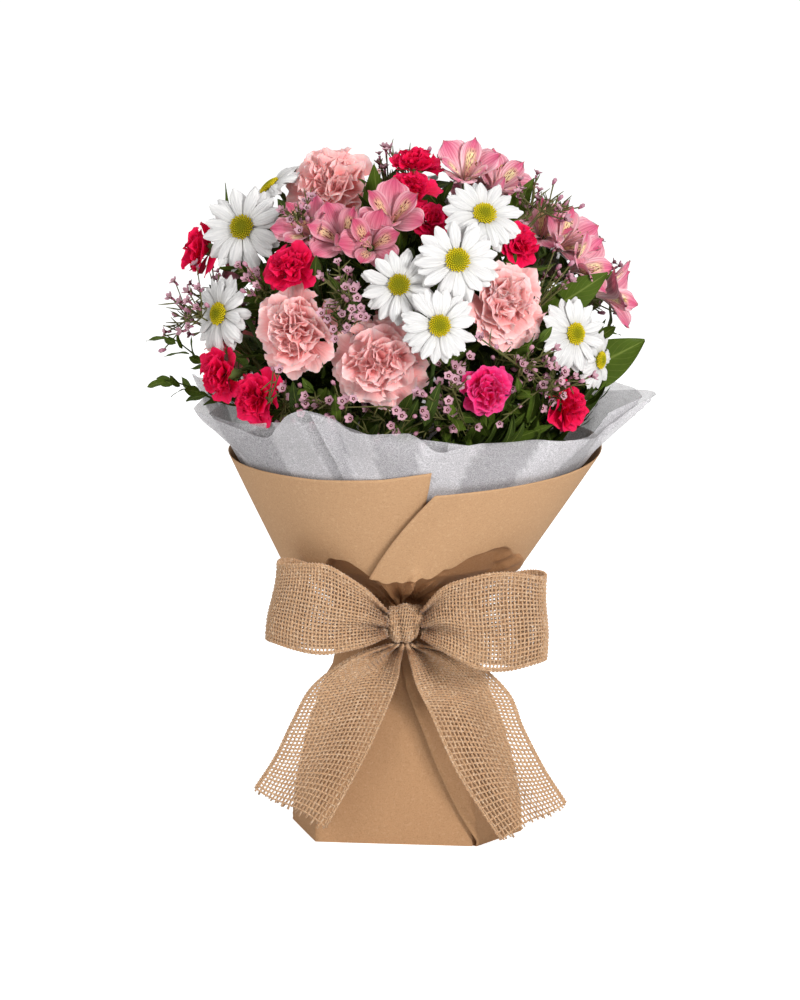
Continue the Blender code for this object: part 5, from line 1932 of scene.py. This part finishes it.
@dataclass
class Waxflower:
    """Sprays of waxflower in one node: tiny flowers with dark cups on thin branching twigs."""
    node: str
    sprays: tuple[tuple, ...]
    finishes: Finishes
    draw: random.Random
    space: Space
    flowers: Maker = field(default_factory=Maker)
    twigs: Strands = field(default_factory=Strands)

    def floret(self, place: Matrix, size: float) -> None:
        """Add one flower: five round petals round a dark cup.

        Args:
            place: matrix of the flower.
            size: its radius.
        """
        shade = self.draw.random()
        lift = self.draw.uniform(0.25, 0.95)
        for index in range(5):
            turn = tau * index / 5 + self.draw.uniform(-0.08, 0.08)

            def surface(across: float, along: float, turn: float = turn) -> Vector:
                """Place on the petal.

                Args:
                    across: share across the petal.
                    along: share from its root to its end.
                    turn: angle of the piece round its flower.

                Returns:
                    The place.
                """
                side = 2 * across - 1
                body = sqrt(max(0.02, 1 - (1.15 * along - 0.42) ** 2 / 0.56))
                return polar(place, turn, size * (0.30 + 0.70 * along), side * size * 0.44 * body,
                             size * (lift * along ** 1.5 - 0.10 * along + 0.16 * side * side))
            self.flowers.sheet(2, 3, surface, (shade, 0.0, 0))
        for sides, low, high, depth, sunk, tone in ((7, 0.20, 0.46, 0.44, -0.38, (0.2, 0.72, 0)),
                                                    (5, 0.17, 0.12, 0.16, 0.05, (0.1, 1.0, 0))):
            self.flowers.cone(sides, size * low, size * high, size * depth,
                              place @ Matrix.Translation((0, 0, sunk * size)), tone)

    def build(self) -> None:
        """Make the sprays: flowers as one piece and twigs as another."""
        for _, fork, gather, spread, count in self.sprays:
            self.spray(metres(fork), metres(gather), spread / 1000, count)
        self.flowers.finish(self.node + "_flowers", self.finishes.wax, "waxflower", (self.node,))
        green = Maker()
        green.take(self.twigs, (0.3, 0.66, 0))
        green.finish(self.node + "_twigs", self.finishes.stem, "stem")

    def spray(self, fork: Vector, gather: Vector, spread: float, count: int) -> None:
        """Add one spray.

        Args:
            fork: where its twigs part.
            gather: the point that its flowers gather round.
            spread: how far they spread.
            count: how many flowers it has.
        """
        flowers, twigs, draw, clear = self.flowers, self.twigs, self.draw, self.space.is_clear
        way = from_bind(fork)
        twigs.add([fork - way * 0.012, fork], [0.0019, 0.0016])
        nodes = [fork.lerp(gather, 0.62) + scatter(draw, spread * 0.22) for _ in range(5)]
        for spot in nodes:
            path = [fork.lerp(spot, step / 5) + scatter(draw, 0.0011) for step in range(1, 5)]
            twigs.add([fork] + path + [spot], [0.0009, 0.0008, 0.0007, 0.0007, 0.0006, 0.0006])
        placed: list[Vector] = []
        for _ in range(count * 30):
            if len(placed) >= count:
                break
            spot = gather + scatter(draw, spread / 2)
            near = min(nodes, key=lambda node: (node - spot).length)
            if not clear(spot, 0.0035) or any((spot - other).length < WAX_GAP for other in placed):
                continue
            if not inside_liner(spot, 0.007) or not inside_dome(spot, 1.13):
                continue
            if not self.space.line_is_clear(near.lerp(spot, 0.3), spot, 0.0005):
                continue
            placed.append(spot)
            lean = ((spot - near).normalized() + outward(spot) * 1.4).normalized()
            bend = near.lerp(spot, 0.6) - lean * 0.002
            twigs.add([near, bend, spot - lean * 0.0016], [0.0007, 0.00055, 0.0006])
            if draw.random() < BUD_SHARE:
                flowers.ball(0.0019, 0.0025, frame_at(spot, lean), (draw.random(), 0.2, 0))
                flowers.cone(6, 0.0007, 0.0017, 0.003, frame_at(spot - lean * 0.004, lean), (0.3, 0.5, 0))
            else:
                self.floret(frame_at(spot, lean, draw.uniform(0, 6)), draw.uniform(0.0031, 0.0040))
                flowers.cone(6, 0.0006, 0.0012, 0.0030, frame_at(spot - lean * 0.0048, lean), (0.3, 0.5, 0))
            for _ in range(3):
                root = near.lerp(spot, draw.uniform(0.0, 0.8))
                side = scatter(draw, 1).normalized()
                tip = root + (side + lean * 1.2).normalized() * draw.uniform(0.006, 0.013)
                if clear(tip, 0.001):
                    twigs.add([root, root.lerp(tip, 0.5), tip], [0.0005, 0.0006, 0.0002])


def outward(point: Vector) -> Vector:
    """Direction from the middle of the bunch to a point."""
    return (point - Vector((0, 0, 0.330))).normalized()


def inside_dome(point: Vector, size: float) -> bool:
    """Whether a point is inside the dome that the flowers fill, scaled by a size."""
    offset = point - DOME_CENTRE
    return sum((offset[axis] / (DOME_SIZE[axis] * size)) ** 2 for axis in range(3)) < 1


def inside_liner(point: Vector, margin: float) -> bool:
    """Test whether a point is inside the inner liner, or above it.

    Args:
        point: the point.
        margin: how far inside it has to be.

    Returns:
        Whether it is.
    """
    if point.z > 0.360:
        return True
    if point.z > RIM_HEIGHT:
        inner = INNER_LINER[-1][1] + LINER_FLARE * (point.z - RIM_HEIGHT)
    else:
        inner = between(INNER_LINER, point.z)
    return hypot(point.x - rim_shift(point.z), point.y) < inner - margin


@dataclass
class Greens:
    """Stems, leaves and the twine that binds the stems."""
    finishes: Finishes
    draw: random.Random
    space: Space
    seats: dict[str, list[Seat]]
    leaves: Maker = field(default_factory=Maker)

    def blade(self, root: Vector, tip: Vector, face: Vector, width: float, tone: Colour, droop: float,
              detail: int = 1) -> None:
        """Add a leaf.

        Args:
            root: where it starts.
            tip: its pointed end.
            face: direction that its upper side looks.
            width: its full width.
            tone: values that the material reads.
            droop: how much its middle stands above the line from root to tip.
            detail: 2 for large leaves.
        """
        along_way = tip - root
        length = along_way.length
        ahead = along_way / length
        side_way = face.cross(ahead).normalized()
        up = ahead.cross(side_way)
        wave, phase = width * 0.06, self.draw.uniform(0, 6)

        def surface(across: float, along: float) -> Vector:
            """Place on the leaf.

            Args:
                across: share across the leaf.
                along: share from its root to its tip.

            Returns:
                The place.
            """
            side = 2 * across - 1
            body = sin(pi * min(1.0, along ** 0.80)) ** 0.85
            half = width / 2 * max(0.035, body)
            lift = droop * length * sin(pi * along) + 0.16 * half * abs(side)
            lift += wave * side * side * sin(9 * along + phase + side)
            return root + ahead * (length * along) + side_way * (half * side) + up * lift
        self.leaves.sheet(4 * detail, 7 * detail, surface, tone)

    def stem_order(self, targets: Sequence[Vector]) -> dict[int, int]:
        """Give each stem the free place in the bind that lies nearest the way to its flower.

        Args:
            targets: middle of each stem's flowers.

        Returns:
            Place in the bind by stem.
        """
        free = list(range(len(targets)))
        order = {}
        for key in sorted(range(len(targets)), key=lambda item: -hypot(targets[item].x, targets[item].y)):
            way = atan2(targets[key].y, targets[key].x)
            far = hypot(targets[key].x, targets[key].y) / 0.16 * STEM_PITCH * sqrt(len(targets))

            def miss(place: int) -> float:
                """How far a place is from the one wanted."""
                radius, turn = STEM_PITCH * sqrt(place + 0.5), place * GOLDEN_TURN
                return hypot(radius * cos(turn) - far * cos(way), radius * sin(turn) - far * sin(way))
            best = min(free, key=miss)
            free.remove(best)
            order[key] = best
        return order

    def build(self) -> None:
        """Make stems, leaves and twine."""
        tops = list(self.seats.values())
        targets = [sum((seat.point for seat in seats), Vector()) / len(seats) for seats in tops]
        order = self.stem_order(targets)
        stems, green = Strands(8), Maker()
        for key, seats in enumerate(tops):
            radius, turn = STEM_PITCH * sqrt(order[key] + 0.5), order[key] * GOLDEN_TURN
            foot = ring(FOOT_SPREAD * radius, turn + FOOT_TURN)
            bound = ring(radius, turn, BIND_HEIGHT)
            if len(seats) == 1:
                neck = seats[0].below(0.018)
                self.stem(stems, [foot, bound, bound.lerp(neck, 0.5), neck, seats[0].point], STEM_RADIUS)
                continue
            fork = targets[key] - from_bind(targets[key]) * FORK_DEPTH
            self.stem(stems, [foot, bound, fork], STEM_RADIUS)
            for seat in seats:
                self.stem(stems, [fork, seat.below(0.010), seat.point], STALK_RADIUS)
        green.take(stems, (0.3, 0.42, 0))
        green.tint([vert for vert in green.bm.verts if vert.co.z < 0.0004], (0.2, 1.0, 0))
        green.finish("stems", self.finishes.stem, "stem", ("stems_and_leaves",))
        self.grow()
        self.leaves.finish("leaves", self.finishes.leaf, "stem")
        self.twine()

    def stem(self, stems: Strands, points: Sequence[Vector], radius: float) -> None:
        """Add a stem with slight nodes along it.

        Args:
            stems: the bundle that takes it.
            points: points that it passes.
            radius: its radius.
        """
        steps = 7 * (len(points) - 1)
        path = [curved(points, step / steps) for step in range(steps + 1)]
        stems.add(path, [radius * (1.18 if step % 6 == 3 else 1.0) for step in range(steps + 1)])

    def grow(self) -> None:
        """Add the leaves: large ones by place, small ones by rule."""
        for root, tip, face, width in SET_LEAVES:
            self.blade(metres(root), metres(tip), facing(*face), width / 1000, (0.75, 0, 0), 0.05, 2)
        for root, tip in SPRIGS:
            self.sprig(metres(root), metres(tip))
        grown, tries = 0, 0
        while grown < FILL_LEAVES and tries < FILL_TRIES:
            tries += 1
            grown += self.fill_leaf()
        low = sum(self.low_leaf() for _ in range(LOW_TRIES))
        log.info("%d leaves after %d tries, and %d low ones", grown, tries, low)

    def fill_leaf(self) -> bool:
        """Try a leaf somewhere between the flowers.

        Returns:
            Whether there was room for it.
        """
        draw, clear = self.draw, self.space.is_clear
        way = facing(draw.uniform(-180, 180), degrees(asin(draw.uniform(-0.72, 1.0))))
        depth = draw.uniform(0.40, 0.96)
        spot = DOME_CENTRE + Vector([way[axis] * DOME_SIZE[axis] * depth for axis in range(3)])
        lean = (way + scatter(draw, 0.55)).normalized()
        length = draw.uniform(0.020, 0.046)
        tip = spot + lean * length * 0.5
        root = spot - lean * length * 0.5
        if not all(clear(root.lerp(tip, part), 0.0015) for part in (0.3, 0.6, 0.85, 1.0)):
            return False
        if not inside_dome(tip, 1.0) or not inside_liner(tip, LEAF_ROOM) or not inside_liner(root, LEAF_ROOM):
            return False
        face = lean.orthogonal()
        face.rotate(Matrix.Rotation(draw.uniform(0, 6.3), 3, lean))
        narrow = draw.random() < 0.6
        width = length * (draw.uniform(0.12, 0.20) if narrow else draw.uniform(0.30, 0.46))
        self.blade(root, tip, face, width, (draw.random() ** 1.6, 0, 0), draw.uniform(0.02, 0.16))
        return True

    def low_leaf(self) -> bool:
        """Try a leaf that stands up inside the liner at the rim.

        Returns:
            Whether there was room for it.
        """
        draw, clear = self.draw, self.space.is_clear
        height = draw.uniform(0.298, 0.338)
        turn = draw.uniform(-pi, pi)
        radius = INNER_LINER[-1][1] + LINER_FLARE * (height - RIM_HEIGHT) - draw.uniform(0.016, 0.050)
        spot = wrapped(radius, turn, height, RIM_SHIFT)
        lean = scatter(draw, 0.35) + outward(spot) * 0.5 + Vector((0, 0, 0.8))
        tip = spot + lean.normalized() * draw.uniform(0.020, 0.040)
        if not clear(spot.lerp(tip, 0.6), 0.0015) or not clear(tip, 0.0015):
            return False
        if not inside_liner(tip, LEAF_ROOM):
            return False
        face = (outward(spot) + scatter(draw, 0.4)).normalized()
        self.blade(spot, tip, face, (tip - spot).length * draw.uniform(0.20, 0.42),
                   (draw.random() ** 2 * 0.7, 0, 0), draw.uniform(0.02, 0.12))
        return True

    def sprig(self, root: Vector, tip: Vector) -> None:
        """Add a twig of small oval leaves.

        Args:
            root: its lower end.
            tip: its upper end.
        """
        way, draw = (tip - root).normalized(), self.draw
        twig = Strands()
        path = [root.lerp(tip, step / 6) + way.orthogonal() * 0.002 * sin(step) for step in range(7)]
        twig.add(path, [0.0010 - 0.0001 * step for step in range(7)])
        self.leaves.take(twig, (0.25, 0, 0))
        for index in range(9):
            start = root.lerp(tip, 0.28 + 0.08 * index)
            turn = Matrix.Rotation(index * 2.4 + draw.uniform(-0.4, 0.4), 3, way)
            side = turn @ way.orthogonal().normalized()
            lean = (way * 0.75 + side * 0.75).normalized()
            length = draw.uniform(0.013, 0.020)
            end = start + lean * length
            if self.space.is_clear(end, 0.001):
                self.blade(start, end, (way * 0.6 - side).normalized(), length * 0.46,
                           (0.4 + 0.5 * draw.random(), 0, 0), 0.06)

    def twine(self) -> None:
        """Add the twine: three turns round the bind."""
        cord = Strands(8)
        path = [ring(TWINE_RING, tau * step / 40, BIND_HEIGHT - 0.0016 + 0.0016 * step / 60)
                for step in range(3 * 40 + 1)]
        cord.add(path, [TWINE_RADIUS * 0.85] * len(path))
        maker = Maker()
        maker.take(cord)
        maker.finish("twine", self.finishes.jute, "twine", ("twine_tie",))


@dataclass
class Bouquet:
    """The whole bouquet."""
    finishes: Finishes = field(default_factory=Finishes)
    draw: random.Random = field(default_factory=lambda: random.Random(SEED))
    space: Space = field(default_factory=Space)
    seats: dict[str, list[Seat]] = field(default_factory=dict)
    bracts: int = 14

    def spray_seat(self, seats: Sequence[Seat], green: Maker) -> Seat:
        """Fork a spray's flowers from one stalk.

        Args:
            seats: seat of each flower.
            green: the mesh that takes the stalks.

        Returns:
            The seat of the whole spray on its stem.
        """
        stalks = Strands(8)
        middle = sum((seat.point for seat in seats), Vector()) / len(seats)
        fork = middle - from_bind(middle) * FORK_DEPTH
        up = from_bind(fork)
        base = fork - up * 0.010
        stalks.add([base, fork], [0.0022, 0.0026])
        for seat in seats:
            path = [curved([fork, seat.below(0.008), seat.point], step / 9) for step in range(10)]
            stalks.add(path, [STALK_RADIUS] * 10)
        green.take(stalks, (0.3, 0.5, 0))
        return Seat(base - up * SEAT, up, 0.004)

    def calyx(self, maker: Maker, point: Vector, axis: Vector, half: float) -> None:
        """Add a carnation's green calyx with its teeth.

        Args:
            maker: the mesh that takes it.
            point: the flower's seat.
            axis: direction that the flower faces.
            half: half the flower's width.
        """
        top, long = 0.20 * half, 0.66 * half
        place = frame_at(point - axis * long, axis)

        def wall(across: float, along: float) -> Vector:
            """Place on the calyx.

            Args:
                across: share round the calyx.
                along: share of its height.

            Returns:
                The place.
            """
            turn = tau * across
            radius = top * (0.45 + 0.55 * ease(along * 1.5))
            teeth = 0.16 * half * abs(sin(2.5 * turn)) * max(0.0, (along - 0.8) / 0.2)
            return place @ ring(radius, turn, long * 1.06 * along + teeth)
        maker.sheet(20, 6, wall, (0.1, 0.55, 0))

    def involucre(self, maker: Maker, bloom: Bloom) -> None:
        """Add the green cup under a daisy.

        Args:
            maker: the mesh that takes it.
            bloom: the daisy.
        """
        place = frame_at(bloom.place, bloom.axis)
        foot = place @ Matrix.Translation((0, 0, -DAISY_SEAT - 0.0014))
        maker.cone(self.bracts, 0.0030, 0.0074, 0.0030, foot, (0.2, 0.5, 0))
        for index in range(self.bracts):
            def bract(across: float, along: float, turn: float = tau * index / self.bracts) -> Vector:
                """Place on the bract.

                Args:
                    across: share across the bract.
                    along: share from its root to its tip.
                    turn: angle of the piece round its flower.

                Returns:
                    The place.
                """
                lateral = (2 * across - 1) * 0.0016 * sin(pi * (0.25 + 0.7 * along))
                return polar(place, turn, 0.0030 + 0.0068 * along, lateral,
                             -DAISY_SEAT - 0.0016 + 0.0026 * along ** 1.4)
            maker.sheet(2, 3, bract, (0.4, 0.5, 0))

    def daisies(self) -> None:
        """Make the daisies."""
        for group in DAISIES:
            rays, discs, green = Maker(), Maker(), Maker()
            seats = []
            for bloom in group:
                head = DaisyHead(bloom, self.draw)
                head.rays(rays)
                head.disc(discs)
                self.involucre(green, bloom)
                seats.append(Seat(bloom.place - bloom.axis * (DAISY_SEAT + SEAT), bloom.axis, 0.004))
                self.space.add(bloom.place, bloom.axis, bloom.half * 0.95, 0.006, 0.012)
            name = group[0].name
            self.seats[name] = [self.spray_seat(seats, green)] if len(group) > 1 else seats
            rays.finish(name + "_rays", self.finishes.daisy, "daisy_petal", (name + "_petals",))
            discs.finish(name + "_florets", self.finishes.disc, "daisy_disc",
                         tuple(bloom.name + "_disc" for bloom in group))
            green.finish(name + "_cups", self.finishes.stem, "stem")

    def carnations(self) -> None:
        """Make the carnations and the spray carnations."""
        groups = [(Kind.LARGE, (bloom,)) for bloom in CARNATIONS]
        for kind, group in groups + [(Kind.SPRAY, group) for group in SPRAY_CARNATIONS]:
            petals, green = Maker(), Maker()
            seats = []
            for bloom in group:
                RuffledHead(bloom, self.draw, kind).petals(petals)
                seats.append(Seat(bloom.place - bloom.axis * (RUFFLED_SEAT * bloom.half + SEAT), bloom.axis,
                                  CALYX_LENGTH[kind]))
                self.calyx(green, bloom.place - bloom.axis * 0.62 * bloom.half, bloom.axis, bloom.half)
                self.space.add(bloom.place, bloom.axis, bloom.half * 0.92, 0.62 * bloom.half, 0.016)
            name = group[0].name
            self.seats[name] = [self.spray_seat(seats, green)] if len(group) > 1 else seats
            finish = self.finishes.carnation if kind is Kind.LARGE else self.finishes.crimson
            if name in MAGENTA:
                finish = self.finishes.magenta
            petals.finish(name + "_petals", finish, kind.value, (name,))
            green.finish(name + "_calyx", self.finishes.stem, "stem")

    def clusters(self) -> None:
        """Make the alstroemeria."""
        for name, fork, blooms in ALSTROEMERIAS:
            AlstroemeriaCluster(name, fork, blooms, self.finishes, self.draw, name in SHADED_CLUSTERS).build()
            self.seats[name] = [fork_seat(metres(fork))]
            for bloom in blooms:
                self.space.add(bloom.place, bloom.axis, bloom.half * 0.92, 0.60 * bloom.half, 0.002)

    def fillers(self) -> None:
        """Make the waxflower."""
        for name, fork, *_ in WAXFLOWERS:
            sprays = tuple(spray for spray in WAXFLOWERS + WAX_FILL if spray[0] == name)
            Waxflower(name, sprays, self.finishes, self.draw, self.space).build()
            self.seats[name] = [fork_seat(metres(fork))]

    def build(self) -> None:
        """Make every piece in order."""
        KraftWrap(self.finishes).build()
        Liner(self.finishes, "nonwoven_outer", "liner_outer", OUTER_LINER, OUTER_LINER_EDGE, 0.6, 0.66,
              (-8, -27), (0.80, 0.20)).build()
        Liner(self.finishes, "nonwoven_inner", "liner_inner", INNER_LINER, INNER_LINER_EDGE, 2.9, LINER_FLARE,
              (14, 8), (0.78, 0.20)).build()
        Bow(self.finishes).build()
        self.daisies()
        self.carnations()
        self.clusters()
        self.fillers()
        for first, second in SHARED_STEMS:
            self.seats[first] = self.seats[first] + self.seats.pop(second)
        Greens(self.finishes, self.draw, self.space, self.seats).build()


@dataclass
class Studio:
    """Floor, light and camera."""
    lens: float = 240.0
    distance: float = 5.0
    elevation: float = 12.0
    target: tuple[float, float, float] = (-0.0015, 0.0, 0.2538)
    ambient: float = 0.40

    def build(self) -> None:
        """Set up the studio."""
        self.floor()
        self.lights()
        self.camera()

    def floor(self) -> None:
        """Add the pale floor."""
        maker = Maker()
        maker.sheet(2, 2, lambda across, along: Vector(((across - 0.5) * 12, (along - 0.5) * 12, 0)))
        paint = Paint("floor", 0.9)
        seen = paint.node("LightPath").outputs["Is Camera Ray"]
        paint.set(Base_Color=(0.75, 0.75, 0.75, 1), Specular_IOR_Level=0.1, Emission_Color=(1, 1, 1, 1),
                  Emission_Strength=paint.times(seen, 0.75))
        floor = maker.thing("floor", paint.material)

    def lights(self) -> None:
        """Add soft lights and a white surround."""
        for name, place, size, power in (("key", (1.0, -1.6, 0.95), 0.45, 32.0),
                                         ("fill", (-1.5, -1.3, 1.0), 1.4, 17.0),
                                         ("top", (0.1, 0.5, 2.0), 1.2, 14.0)):
            lamp = bpy.data.lights.new(name, "AREA")
            lamp.size = size
            lamp.energy = power
            thing = linked(name, lamp)
            thing.location = place
            thing.rotation_euler = (Vector((0, 0, 0.3)) - Vector(place)).to_track_quat("-Z", "Y").to_euler()
        world = bpy.data.worlds.new("studio")
        world.use_nodes = True
        sky = world.node_tree.nodes["Background"]
        sky.inputs["Color"].default_value = (1.0, 1.0, 1.0, 1)
        web = Web(world.node_tree)
        seen = web.node("LightPath").outputs["Is Camera Ray"]
        web.wire(web.plus(self.ambient, web.times(seen, 1.0 - self.ambient)), sky.inputs["Strength"])
        bpy.context.scene.world = world
        bpy.context.scene.view_settings.view_transform = "Standard"

    def camera(self) -> None:
        """Add the camera at the photograph's angle."""
        rise = radians(self.elevation)
        away = Vector((0, -cos(rise), sin(rise))) * self.distance
        lens = bpy.data.cameras.new("camera")
        lens.lens = self.lens
        camera = linked("camera", lens)
        camera.location = Vector(self.target) + away
        camera.rotation_euler = (-away).to_track_quat("-Z", "Y").to_euler()
        bpy.context.scene.camera = camera


def main() -> None:
    """Build the bouquet and the studio."""
    logging.basicConfig(level=logging.INFO, format="%(message)s")
    Studio().build()
    Bouquet().build()


if __name__ == "__main__":
    main()
